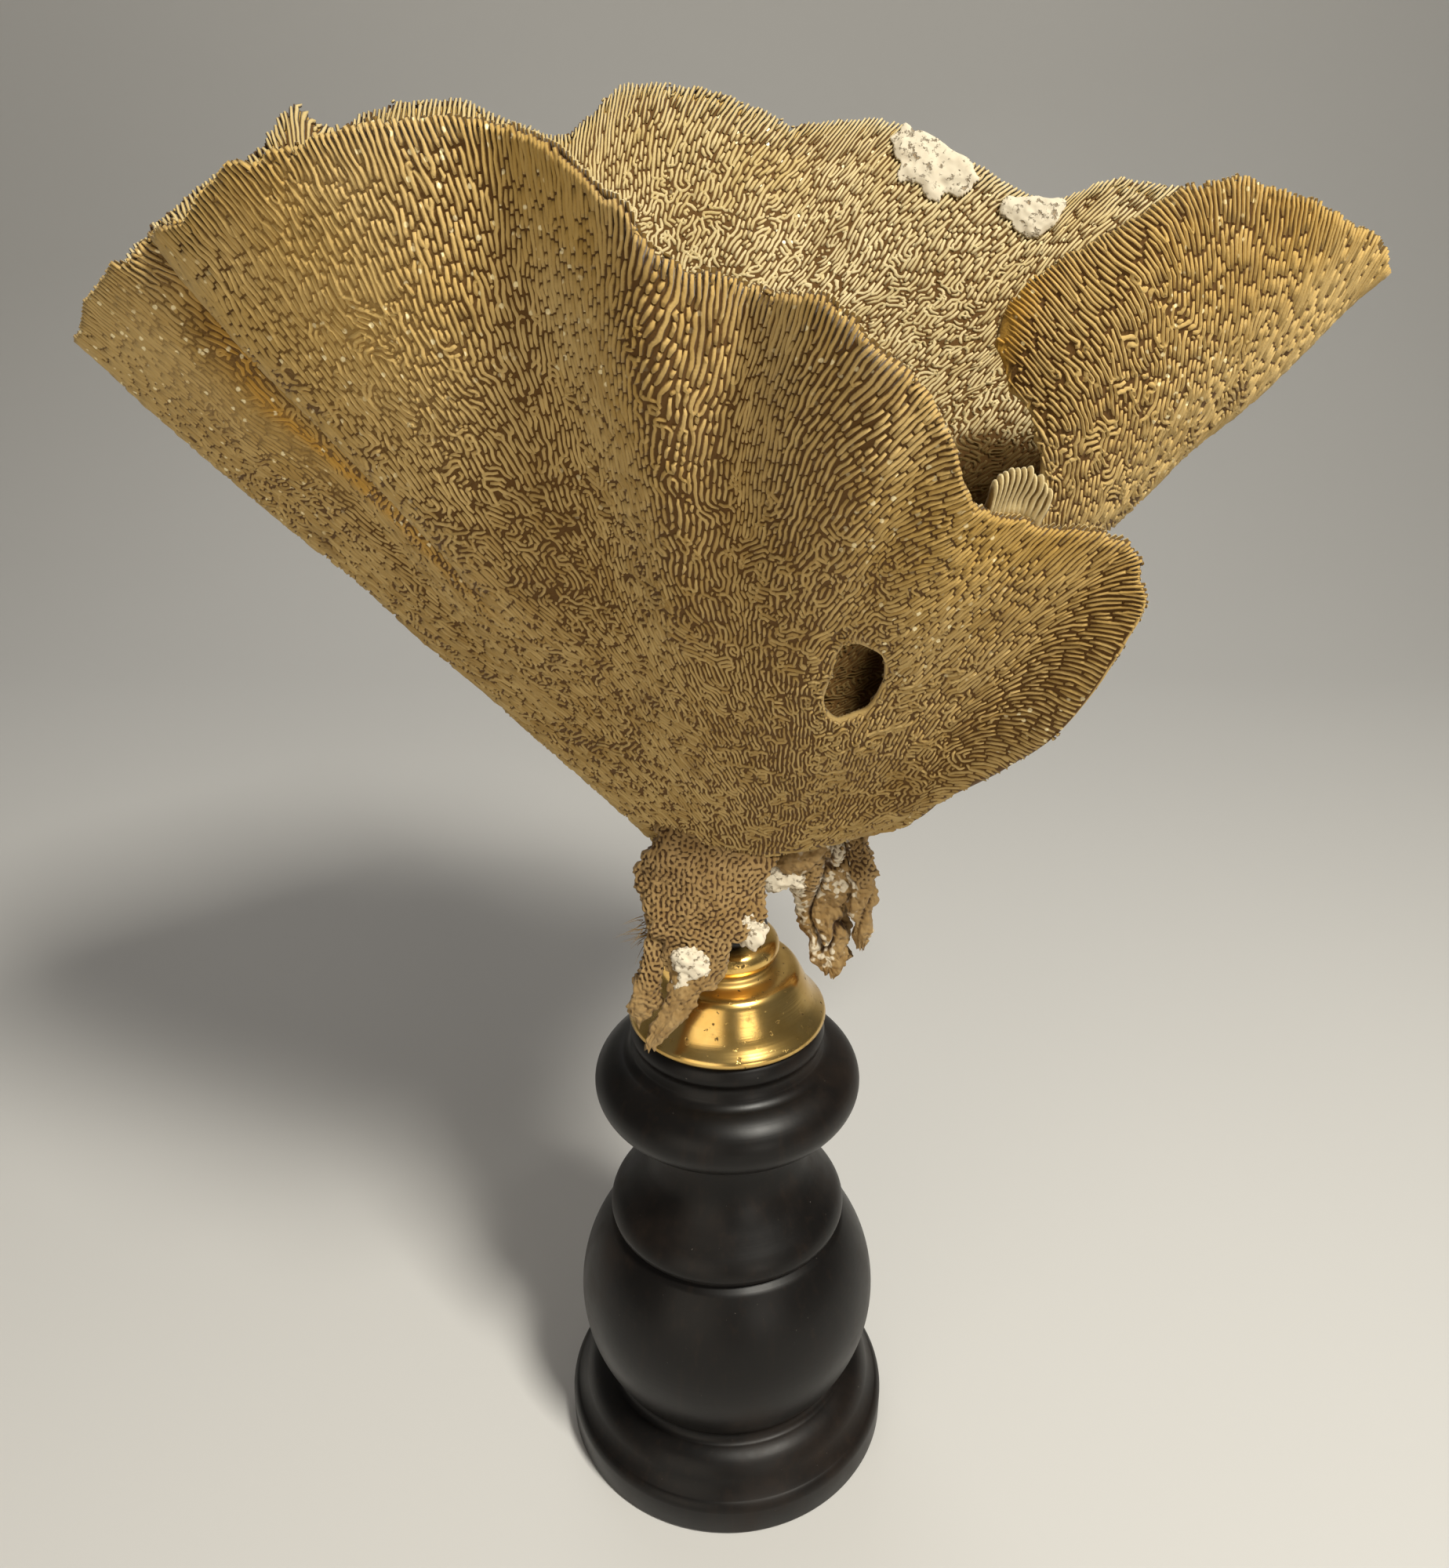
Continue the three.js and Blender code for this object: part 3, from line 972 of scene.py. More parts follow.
@dataclass
class FlatLeaf:
    """The leaf laid flat as a fan, so that a pattern can grow evenly on it."""

    surface: LeafSurface
    apex: float = 14.0
    level: float = 0.6
    levels: int = 28
    top: float = 1.08
    samples: int = 2000
    rounds: int = 3

    def lay(self) -> None:
        """Finds each rib's length, and how the ribs spread in the fan at each level."""
        self.u = np.linspace(0.0, 1.0, self.samples)
        self.length = np.linalg.norm(self.surface.calm(self.u) - self.surface.stalk(self.u), axis=1)
        self.v = np.linspace(0.0, self.top, self.levels)
        spread = [self.spread(level) for level in self.v]
        self.whole = self.spread(self.level)[-1]
        self.angle = np.linspace(0.0, self.whole, self.samples)
        self.table = np.stack([np.interp(self.angle, row * self.whole / row[-1], self.u) for row in spread])

    def spread(self, level: float) -> Array:
        """Spreads the ribs in the fan.

        Args:
            level: the level of the leaf along which they are spread.

        Returns:
            The fan's angle at each rib.
        """
        _, _, along, up = self.surface.frame(self.u, np.full(self.samples, level))
        across = np.linalg.norm(np.cross(along, unit(up)), axis=1) / self.samples
        return np.cumsum(across / (self.apex + level * self.length))

    def rib(self, angle: Array, v: Array) -> Array:
        """Finds ribs in the fan.

        Args:
            angle: angles of the fan.
            v: the leaf's levels there.

        Returns:
            The u of each.
        """
        row = np.clip(v / self.v[-1], 0.0, 1.0) * (self.levels - 1)
        low = np.minimum(row.astype(int), self.levels - 2)
        column = np.clip(angle / self.whole, 0.0, 1.0) * (self.samples - 1)
        left = np.minimum(column.astype(int), self.samples - 2)
        t = row - low
        k = column - left
        below = self.table[low, left] * (1 - k) + self.table[low, left + 1] * k
        above = self.table[low + 1, left] * (1 - k) + self.table[low + 1, left + 1] * k
        return below * (1 - t) + above * t

    def place(self, x: Array, y: Array) -> Tuple[Array, Array]:
        """Where points of the fan lie on the leaf.

        Args:
            x: their first coordinate in the fan.
            y: their second coordinate.

        Returns:
            Their u and v; v is far past the margin in the fan's gap.
        """
        angle = np.mod(np.arctan2(y, x), TURN)
        rise = np.hypot(x, y) - self.apex
        v = np.full(np.shape(x), self.level)
        for _ in range(self.rounds):
            u = self.rib(angle, v)
            v = rise / np.interp(u, self.u, self.length)
        return u, np.where(angle > self.whole, FAR, v)


@dataclass
class Trail:
    """One ridge of the maze in the flat fan, and which of its ends are free."""

    points: Array
    free_start: bool
    free_end: bool


@dataclass
class Labyrinth:
    """The maze of ridges on the leaf's two faces, grown from noise on the flat fan."""

    flat: FlatLeaf
    seed: int = 5
    pitch: float = 0.83
    pixel: float = 0.171
    size: int = 1920
    rounds: int = 7
    band: float = 0.26
    gain: float = 1.3
    smear: Sequence[int] = (-6, -4, -2, 2, 4, 6)
    free: float = 0.17
    ruled: float = 0.8
    ruled_depth: Pair = (6.0, 26.0)
    ruled_pitch: float = 45.0
    upright_from: float = 0.3
    upright_over: float = 0.5
    threshold: float = 0.04
    fill_beyond: int = 3

    def lay(self) -> None:
        """Lays the grid out and finds which way the ridges run: straight at the margin, freely below."""
        i, j = np.indices((self.size, self.size))
        x = (i - self.size / 2) * self.pixel
        y = (j - self.size / 2) * self.pixel
        u, v = self.flat.place(x, y)
        rise = np.clip(v, 0.0, 1.2)
        slope_x, slope_y = np.gradient(rise)
        steep = np.hypot(slope_x, slope_y) + 1e-6
        radius = np.hypot(x, y) + 1e-6
        share = np.where(steep > 1e-4, ramp(rise, self.upright_from, self.upright_over), 0.0)
        way_x = x / radius * (1 - share) + slope_x / steep * share
        way_y = y / radius * (1 - share) + slope_y / steep * share
        length = np.hypot(way_x, way_y) + 1e-6
        last = self.size - 1
        self.ahead = []
        for step in self.smear:
            to_i = np.clip(np.rint(i + step * way_x / length), 0, last).astype(int)
            to_j = np.clip(np.rint(j + step * way_y / length), 0, last).astype(int)
            self.ahead.append(to_i * self.size + to_j)
        depth = (1.0 - rise) * np.interp(u, self.flat.u, self.flat.length)
        surface = self.flat.surface
        patch = surface.noise.along(u.ravel() * surface.margin_length, self.ruled_pitch, 20.5)
        patch = 0.5 + 0.5 * patch.reshape(u.shape)
        zone = self.ruled_depth[0] + (self.ruled_depth[1] - self.ruled_depth[0]) * patch
        self.order = self.free + (self.ruled - self.free) * np.exp(-(depth / zone) ** 2)
        self.inside = (v > 0.0) & (v < surface.reach(u))
        self.inside[[0, -1], :] = False
        self.inside[:, [0, -1]] = False
        self.depth = depth

    def grow(self) -> Dict[Face, Array]:
        """Grows the maze.

        Returns:
            Its height over the grid, for each face.
        """
        rng = np.random.default_rng(self.seed)
        waves = TURN * np.fft.fftfreq(self.size, self.pixel)
        target = TURN / self.pitch
        away = (np.hypot(waves[:, None], waves[None, :]) - target) / (self.band * target)
        keep = np.exp(-away * away)
        shape = (self.size, self.size)
        heights = rng.normal(size=shape) + 1j * rng.normal(size=shape)
        for _ in range(self.rounds):
            heights = np.fft.ifft2(np.fft.fft2(heights) * keep)
            flat = heights.ravel()
            smeared = sum(flat[k] for k in self.ahead) / len(self.ahead)
            heights = heights + self.order * (smeared - heights)
            steep = self.gain / heights.real.std()
            heights = np.tanh(steep * heights.real) + 1j * np.tanh(steep * heights.imag)
        heights = np.fft.ifft2(np.fft.fft2(heights) * keep)
        return {Face.OUTER: heights.real, Face.INNER: heights.imag}

    @staticmethod
    def thin(mask: Array) -> Array:
        """Thins a mask to lines one cell wide.

        Args:
            mask: the cells of the ridges.

        Returns:
            The cells of their middle lines.
        """
        round_trip = ((-1, 0), (-1, 1), (0, 1), (1, 1), (1, 0), (1, -1), (0, -1), (-1, -1))
        changed = True
        while changed:
            changed = False
            for first, second in (((0, 2, 4), (2, 4, 6)), ((0, 2, 6), (0, 4, 6))):
                beside = [np.roll(mask, (-a, -b), (0, 1)) for a, b in round_trip]
                count = sum(cell.astype(np.int8) for cell in beside)
                turns = sum((~a & b).astype(np.int8) for a, b in zip(beside, beside[1:] + beside[:1]))
                open_a = ~(beside[first[0]] & beside[first[1]] & beside[first[2]])
                open_b = ~(beside[second[0]] & beside[second[1]] & beside[second[2]])
                drop = mask & (count >= 2) & (count <= 6) & (turns == 1) & open_a & open_b
                if drop.any():
                    mask = mask & ~drop
                    changed = True
        return mask

    def links(self, mask: Array) -> Tuple[Array, List[List[int]]]:
        """Numbers the cells of thin lines and lists each one's neighbours.

        Args:
            mask: the cells of the lines.

        Returns:
            The cells' places in the grid, and the numbers of each cell's neighbours.
        """
        cells = np.flatnonzero(mask)
        number = np.full(mask.size, -1)
        number[cells] = np.arange(len(cells))
        columns = []
        for a, b in ((-1, 0), (1, 0), (0, -1), (0, 1)):
            columns.append(number[cells + a * self.size + b])
        for a, b in itertools.product((-1, 1), repeat=2):
            corner = number[cells + a * self.size + b]
            bridged = (number[cells + a * self.size] >= 0) | (number[cells + b] >= 0)
            columns.append(np.where(bridged, -1, corner))
        table = np.stack(columns, -1).tolist()
        return cells, [[k for k in row if k >= 0] for row in table]

    def trails(self, heights: Array) -> List[Trail]:
        """Follows the maze's ridges from one end or fork to the next.

        Args:
            heights: the height of the maze over the grid.

        Returns:
            The ridges, in millimetres of the flat fan.
        """
        mask = (heights > self.threshold * heights.std()) & self.inside
        lines = self.thin(mask)
        near = lines
        for _ in range(self.fill_beyond):
            moved = [np.roll(near, step, axis) for step, axis in itertools.product((1, -1), (0, 1))]
            near = np.logical_or.reduce([near] + moved)
        cells, beside = self.links(lines | self.thin(self.inside & ~near & (self.depth > 1.0)))
        ends_first = sorted(range(len(beside)), key=lambda k: len(beside[k]) == 2)
        lone = np.array([[-0.2, -0.15], [0.2, 0.15]])
        seen = [False] * len(beside)
        done = set()
        found = []
        for start in ends_first:
            if not beside[start]:
                spot = np.array([cells[start] // self.size, cells[start] % self.size]) - self.size / 2
                found.append(Trail(spot * self.pixel + lone, True, True))
            if len(beside[start]) == 2 and seen[start]:
                continue
            for step in beside[start]:
                if (start, step) in done:
                    continue
                walk = [start, step]
                while len(beside[walk[-1]]) == 2 and walk[-1] != start:
                    seen[walk[-1]] = True
                    a, b = beside[walk[-1]]
                    walk.append(b if a == walk[-2] else a)
                done.add((start, step))
                done.add((walk[-1], walk[-2]))
                spots = cells[walk]
                points = np.stack([spots // self.size, spots % self.size], -1) - self.size / 2
                free = [len(beside[end]) == 1 for end in (walk[0], walk[-1])]
                found.append(Trail(points * self.pixel, *free))
        return found


@dataclass
class Ridges:
    """The ridges of one face as real rods on the ground sheet."""

    flat: FlatLeaf
    openings: Openings
    face: Face
    trails: List[Trail]
    height: float = 0.5
    sunk: float = 0.15
    half_width: float = 0.41
    straight_step: float = 1.7
    turn_step: float = 0.75
    shortest: float = 0.25
    rim_zone: float = 0.955
    rod: float = 2.2
    gap: float = 0.36
    vary: float = 0.6
    sway: float = 0.07
    unbroken: Pair = (1.0, 9.0)
    end_stub: float = 1.0
    shortest_rod: float = 1.2
    end_room: float = 0.5
    needs_middle: float = 0.8
    blunt_width: float = 0.72
    blunt_height: float = 0.8
    rod_heights: Pair = (0.8, 1.1)
    ring_heights: Pair = (0.86, 1.14)
    ring_widths: Pair = (0.84, 1.12)
    scales: Pair = (0.35, 1.7)
    slim_share: float = 0.8
    slim_from: float = 0.3
    slim_over: float = 0.35
    wear: float = 0.45
    worn_and_painted_light_foot: float = 0.4
    painted_light_tone: float = 1.1
    hole_zone: float = 1.4
    smoothing: int = 4
    fine_step: float = 0.45

    def stations(self, x: Array, y: Array) -> Tuple[Array, Array, Array]:
        """Places along a trail for its rings: few where it runs straight, more where it turns.

        Args:
            x: the trail's first coordinate in the flat fan.
            y: its second coordinate.

        Returns:
            The smoothed trail's distances with its points, and the distances of the rings.
        """
        points = np.stack([x, y], -1)
        for _ in range(self.smoothing if len(points) > 3 else 0):
            points[1:-1] = 0.25 * points[:-2] + 0.5 * points[1:-1] + 0.25 * points[2:]
        s = np.concatenate([[0.0], np.cumsum(np.linalg.norm(np.diff(points, axis=0), axis=1))])
        fine = np.linspace(0.0, s[-1], max(2, int(round(s[-1] / self.fine_step)) + 1))
        step = np.diff([np.interp(fine, s, points[:, k]) for k in (0, 1)], axis=1)
        turn = np.abs(np.diff(np.unwrap(np.arctan2(step[1], step[0])))) / self.turn_step
        effort = np.diff(fine) / self.straight_step
        effort[1:] += 0.5 * turn
        effort[:-1] += 0.5 * turn
        total = np.concatenate([[0.0], np.cumsum(effort)])
        even = np.linspace(0.0, total[-1], max(2, int(math.ceil(total[-1])) + 1))
        return s, points, np.interp(even, total, fine)

    def cuts(self, trail: Trail, s: Array, points: Array,
             rng: np.random.Generator) -> List[Rod]:
        """Where a trail is broken into rods: nowhere near the margin, often below.

        Args:
            trail: the trail.
            s: its distances.
            points: its points.
            rng: the random numbers to use.

        Returns:
            Each rod's start and end, and which of those ends are free.
        """
        u, v = self.flat.place(points[:, 0], points[:, 1])
        depth = (1.0 - v) * np.interp(u, self.flat.u, self.flat.length)
        straight = rng.uniform(*self.unbroken)
        rods: List[Rod] = []
        start = 0.0
        free_start = trail.free_start
        place = self.rod * math.exp(rng.normal(0.0, self.vary))
        while place < s[-1] - self.end_stub:
            if np.interp(place, s, depth) > straight and place - start > self.shortest_rod:
                rods.append((start, place - self.gap / 2, free_start, True))
                start = place + self.gap / 2
                free_start = True
            place += self.rod * math.exp(rng.normal(0.0, self.vary))
        rods.append((start, s[-1], free_start, trail.free_end))
        return rods

    @staticmethod
    def on_trail(at: Array, s: Array, points: Array) -> Array:
        """Points of a trail at distances along it."""
        return np.stack([np.interp(at, s, points[:, k]) for k in (0, 1)], -1)

    def rod_rings(self, rod: Rod, s: Array, points: Array, middle: Array,
                  rng: np.random.Generator) -> Dict[str, Array]:
        """Cuts one rod into rings.

        Args:
            rod: its start and end along its trail, and which of them are free.
            s: the trail's distances.
            points: the trail's points.
            middle: the distances of the trail's rings.
            rng: the random numbers to use.

        Returns:
            For each ring its place and way in the fan, half width, height share, free end and tone.
        """
        start, end, free_start, free_end = rod
        inner = middle[(middle > start + self.end_room) & (middle < end - self.end_room)]
        if not len(inner) and end - start > self.needs_middle:
            inner = np.array([0.5 * (start + end)])
        at = np.concatenate([[start], inner, [end]])
        count = len(at)
        share = np.ones(count)
        high = rng.uniform(*self.rod_heights) * rng.uniform(*self.ring_heights, count)
        for free, k in ((free_start, 0), (free_end, -1)):
            share[k] *= self.blunt_width if free else 1.0
            high[k] *= self.blunt_height if free else 1.0
        near = 0.2
        way = unit(self.on_trail(at + near, s, points) - self.on_trail(at - near, s, points) + 1e-9)
        aside = way[:, ::-1] * (1, -1)
        spot = self.on_trail(at, s, points) + aside * rng.normal(0.0, self.sway, (count, 1))
        return {
            "x": spot[:, 0],
            "y": spot[:, 1],
            "way_x": way[:, 0],
            "way_y": way[:, 1],
            "half": share * self.half_width * rng.uniform(*self.ring_widths, count),
            "high": high,
            "end": np.concatenate([[-free_start], np.zeros(count - 2), [free_end]]),
            "tone": np.full(count, rng.uniform(0.0, 1.0)),
        }

    def rings(self) -> Dict[str, Array]:
        """Cuts the trails into rings.

        Returns:
            For each ring its u, v, half width, height share, free end, rod number and tone.
        """
        rng = np.random.default_rng(40 + self.face.value)
        rods: List[Dict[str, Array]] = []
        for trail in self.trails:
            s, points, middle = self.stations(*trail.points.T)
            if s[-1] < self.shortest:
                continue
            for rod in self.cuts(trail, s, points, rng):
                made = self.rod_rings(rod, s, points, middle, rng)
                made["rod"] = np.full(len(made["x"]), len(rods))
                rods.append(made)
        rings = {key: np.concatenate([made[key] for made in rods]) for key in rods[0]}
        rings["half"] = rings["half"] * np.clip(self.local_scale(rings), *self.scales)
        rings["u"], rings["v"] = self.flat.place(rings["x"], rings["y"])
        rings["v"] = np.clip(rings["v"], 0.0, 1.06)
        full = ramp(rings["v"], self.slim_from, self.slim_over)
        rings["half"] = rings["half"] * (self.slim_share + (1.0 - self.slim_share) * full)
        return rings

    def local_scale(self, rings: Dict[str, Array]) -> Array:
        """How wide a millimetre across each rod is on the leaf itself.

        Args:
            rings: the rings' places and ways in the fan.

        Returns:
            One scale for each ring.
        """
        spots = np.stack([rings["x"], rings["y"]], -1)
        way = np.stack([rings["way_x"], rings["way_y"]], -1)
        aside = way[:, ::-1] * (-1, 1)
        steps = [self.half_width * sign * turned for turned in (way, aside) for sign in (1, -1)]
        places = [self.flat.place(*(spots + step).T) for step in steps]
        ahead, behind, left, right = (self.flat.surface.point(*place) for place in places)
        wide = np.linalg.norm(np.cross(left - right, unit(ahead - behind)), axis=-1)
        return wide / (2 * self.half_width)

    def build(self, name: str, parts: int) -> List[bpy.types.Object]:
        """The ridges as rods with their feet in the ground sheet, in several pieces.

        Args:
            name: the start of each piece's name.
            parts: how many pieces, along the margin.

        Returns:
            The pieces.
        """
        rings = self.rings()
        u, v, rod = (rings[key] for key in ("u", "v", "rod"))
        centre, normal, _, up = self.flat.surface.frame(u, v)
        normal = normal * self.face.value
        same = np.concatenate([rod[1:] == rod[:-1], [False]])
        ahead = np.where(same[:, None], np.roll(centre, -1, 0) - centre, 0.0)
        along = unit(ahead + np.roll(ahead, 1, 0) - up * 1e-6)
        half = unit(np.cross(normal, along)) * rings["half"][:, None]
        radius = self.openings.radius(centre)
        ground = self.flat.surface.half(v) * self.openings.thinning(radius)
        base = centre + normal * (ground - np.minimum(self.sunk, 0.8 * ground))[:, None]
        outside = self.face == Face.OUTER
        # Real wear, a painted glow, and patches painted paler where light falls.
        worn, painted_glow, pale = (most(folds, u, v) * outside for folds in (WORN, PAINTED_GLOW, PAINTED_LIGHT))
        top = normal * (self.sunk + self.height * rings["high"] * (1.0 - self.wear * worn))[:, None]
        points = np.stack([base - half, base + top, base + half], 1)
        # The feet lift towards the crest colour in the worn patches, which is real wear, and in the patches
        # painted paler where light falls; those patches also take a paler tone.
        foot = self.worn_and_painted_light_foot * np.maximum(worn, pale)
        tone = rings["tone"] + self.painted_light_tone * pale
        numbers = {"crest": (foot, np.ones(len(foot)), foot), "painted_glow": (painted_glow,) * 3, "grain": (tone,) * 3,
                   "span": (v,) * 3}
        clear = radius > 1.0
        here = same & clear & np.roll(clear, -1)
        bare = (v > self.rim_zone) | (radius < self.hole_zone)
        first = (bare | (rings["end"] < 0)) & clear & ~np.roll(here, 1)
        last = (bare | (rings["end"] > 0)) & clear & ~here
        starts = np.searchsorted(rod, np.arange(rod[-1] + 1))
        order = np.argsort(np.argsort(u[starts]))
        share = (order * parts // len(order))[rod]
        pieces = []
        for part in range(parts):
            mine = share == part
            number = (np.cumsum(mine) - 1) * 3
            k, low, f, e = (number[mine & some] for some in (here, here & bare, first, last))
            sides = [np.stack([k + a, k + a + 3, k + a + 4, k + a + 1], -1) for a in range(2)]
            feet = np.stack([low + 2, low + 5, low + 3, low], -1)
            caps = [np.stack([f, f + 1, f + 2, f + 2], -1), np.stack([e + 2, e + 1, e, e], -1)]
            used, faces = in_use(np.concatenate(sides + [feet] + caps))
            spots = points[mine].reshape(-1, 3)[used]
            carried = {key: np.stack(values, -1)[mine].ravel()[used] for key, values in numbers.items()}
            pieces.append(make_mesh(f"{name}_{part + 1}", spots, faces, carried))
        return pieces


@dataclass
class Leaf:
    """The sponge's folded leaf: its ground sheet and the ridges on both faces."""

    surface: LeafSurface = field(default_factory=LeafSurface)
    openings: Openings = field(default_factory=Openings)
    columns: int = 300
    close_columns: Tuple[float, float, int] = (0.84, 0.94, 60)
    rows: int = 46
    rows_end: float = 0.97
    rim_rows: Sequence[float] = (0.98, 0.988, 0.994, 0.998, 1.0)
    rim_from: float = 0.978
    rim_over: float = 0.022
    below_ridges: float = 0.009
    halvings: int = 14
    parts: int = 3
    thin_rim: float = 0.3
    rim_pale: float = 0.7
    hole_pale: float = 0.75
    hole_reach: float = 1.12
    worn_and_painted_light: float = 0.4

    def draw_back(self, u: Array, v: Array, quads: Array, inside: Array) -> Tuple[Array, Array]:
        """Moves the corners that lie inside an opening back to its edge.

        Args:
            u: the corners' places along the margin.
            v: their places up the ribs.
            quads: the quads that an edge crosses.
            inside: which corners lie inside an opening.

        Returns:
            The corners' new u and v.
        """
        keeper = quads[np.arange(len(quads)), np.argmin(inside[quads], axis=1)]
        moved, order = np.unique(quads, return_index=True)
        partner = keeper[order // 4][inside[moved]]
        moved = moved[inside[moved]]
        to_u = u[partner] - u[moved]
        to_v = v[partner] - v[moved]
        low = np.zeros(len(moved))
        high = np.ones(len(moved))
        for _ in range(self.halvings):
            t = 0.5 * (low + high)
            spot = self.surface.point(u[moved] + to_u * t, v[moved] + to_v * t)
            still = self.openings.radius(spot) < 1.0
            low = np.where(still, t, low)
            high = np.where(still, high, t)
        u, v = u.copy(), v.copy()
        u[moved] += to_u * high
        v[moved] += to_v * high
        return u, v

    def sheet(self) -> bpy.types.Object:
        """Makes the ground sheet, with a rounded margin and the openings through it.

        Returns:
            The sheet.
        """
        u = np.union1d(np.linspace(0.0, 1.0, self.columns), np.linspace(*self.close_columns))
        v = np.concatenate([np.linspace(0.0, self.rows_end, self.rows), self.rim_rows])
        uu, vv = every_pair(u, v)
        edge = ramp(vv, self.rim_from, self.rim_over)
        half = self.surface.half(vv) * np.maximum(self.thin_rim, np.sqrt(1.0 - edge**2))
        vv = vv * (self.surface.reach(uu) - self.below_ridges)
        radius = self.openings.radius(self.surface.point(uu, vv))
        half = half * self.openings.thinning(radius)
        quads = grid_quads(len(u), len(v))
        inside = radius < 1.0
        quads = quads[~inside[quads].all(axis=1)]
        uu, vv = self.draw_back(uu, vv, quads[inside[quads].any(axis=1)], inside)
        p, n, _, _ = self.surface.frame(uu, vv)
        points = np.concatenate([p + n * half[:, None], p - n * half[:, None]])
        used, faces = in_use(shell_quads(quads, len(uu)))
        rim = self.rim_pale * ramp(edge, 0.35, 0.5)
        hole_rim = self.hole_pale * ramp(self.hole_reach - radius, 0.0, 0.1)
        # Paler in the worn patches, which is real wear, and in the patch painted paler where light falls on
        # the upper left of the front wall.
        worn = self.worn_and_painted_light * most(WORN + PAINTED_LIGHT[:1], uu, vv)
        crest = np.maximum(np.maximum(rim, hole_rim), worn)
        numbers = {"crest": crest, "grain": np.full(len(uu), 0.5), "span": vv, "painted_glow": most(PAINTED_GLOW, uu, vv)}
        carried = {key: np.tile(values, 2)[used] for key, values in numbers.items()}
        return make_mesh("leaf_sheet", points[used], faces, carried)

    def build(self, outer: bpy.types.Material, inner: bpy.types.Material) -> None:
        """Makes and dresses the leaf.

        Args:
            outer: the finish of the funnel's outside.
            inner: the finish of its inside.
        """
        self.openings.place(self.surface)
        dress(self.sheet(), outer, Slot.SPONGE, "sponge")
        flat = FlatLeaf(self.surface)
        flat.lay()
        maze = Labyrinth(flat)
        maze.lay()
        heights = maze.grow()
        for face, material in ((Face.OUTER, outer), (Face.INNER, inner)):
            ridges = Ridges(flat, self.openings, face, maze.trails(heights[face]))
            for piece in ridges.build(f"leaf_ridges_{face.name.lower()}", self.parts):
                dress(piece, material, Slot.SPONGE, "sponge")


# Straps of the hold-fast from the top down: the middle's x, y and z, then half the width and half the depth.
LEFT_LEG = np.array([
    [-2, -6, 168, 12, 3], [-2, -7, 162, 12.5, 3.3], [-4.2, -9, 156.3, 12.7, 3.4],
    [-4.8, -11.5, 150.7, 11.7, 3.2], [-5.5, -13.5, 146.6, 9.8, 2.8], [-5.6, -15, 143, 7, 2.5],
    [-6.6, -17, 136.5, 4.9, 2.2], [-9.6, -18.5, 132.7, 3, 2], [-11.6, -19.5, 128.7, 2.7, 1.8],
    [-14, -20, 125.3, 1.7, 1.4], [-15.1, -20.5, 123.2, 0.7, 0.8],
])
OUTER_LOBE = np.array([
    [-12.6, -11.5, 149, 3.2, 2.6], [-13.3, -13.5, 143, 2.5, 2.3], [-14.9, -15.5, 137, 2.7, 2.3],
    [-16.2, -16.5, 132.2, 2.8, 2.2], [-17.1, -17, 128.8, 2.1, 1.8], [-17.6, -17.3, 126.9, 0.8, 0.9],
])
WEB = np.array([
    [15, -3.5, 164, 5.5, 2.4], [15.2, -4, 159, 5.2, 2.2], [14, -4.4, 155.5, 4.6, 1.8],
    [12.8, -4.5, 152.8, 1, 0.8],
])
RIGHT_LEG = np.array([
    [17.5, 0, 168, 8.6, 4], [18.3, 0, 160, 9.2, 4.2], [18.6, 0.5, 154.5, 8.4, 4],
    [19.2, 0.5, 149, 6.2, 3.6], [20.2, 1, 143.2, 5.1, 3.2], [20.8, 1, 137.5, 4.5, 2.8],
    [21.2, 0.5, 133, 4, 2.3], [22, 0, 129.5, 2.8, 1.8], [21.6, 0, 127, 1, 1],
])
SHRED = np.array([
    [24, -1, 161, 3.6, 2.6], [26, -1.5, 155.6, 3.1, 2.4], [27.1, -2, 148.6, 2.6, 2.1],
    [27.3, -2, 142.2, 1.9, 1.8], [27.6, -2, 137.5, 1.5, 1.4], [27.7, -2, 134.3, 0.5, 0.6],
])


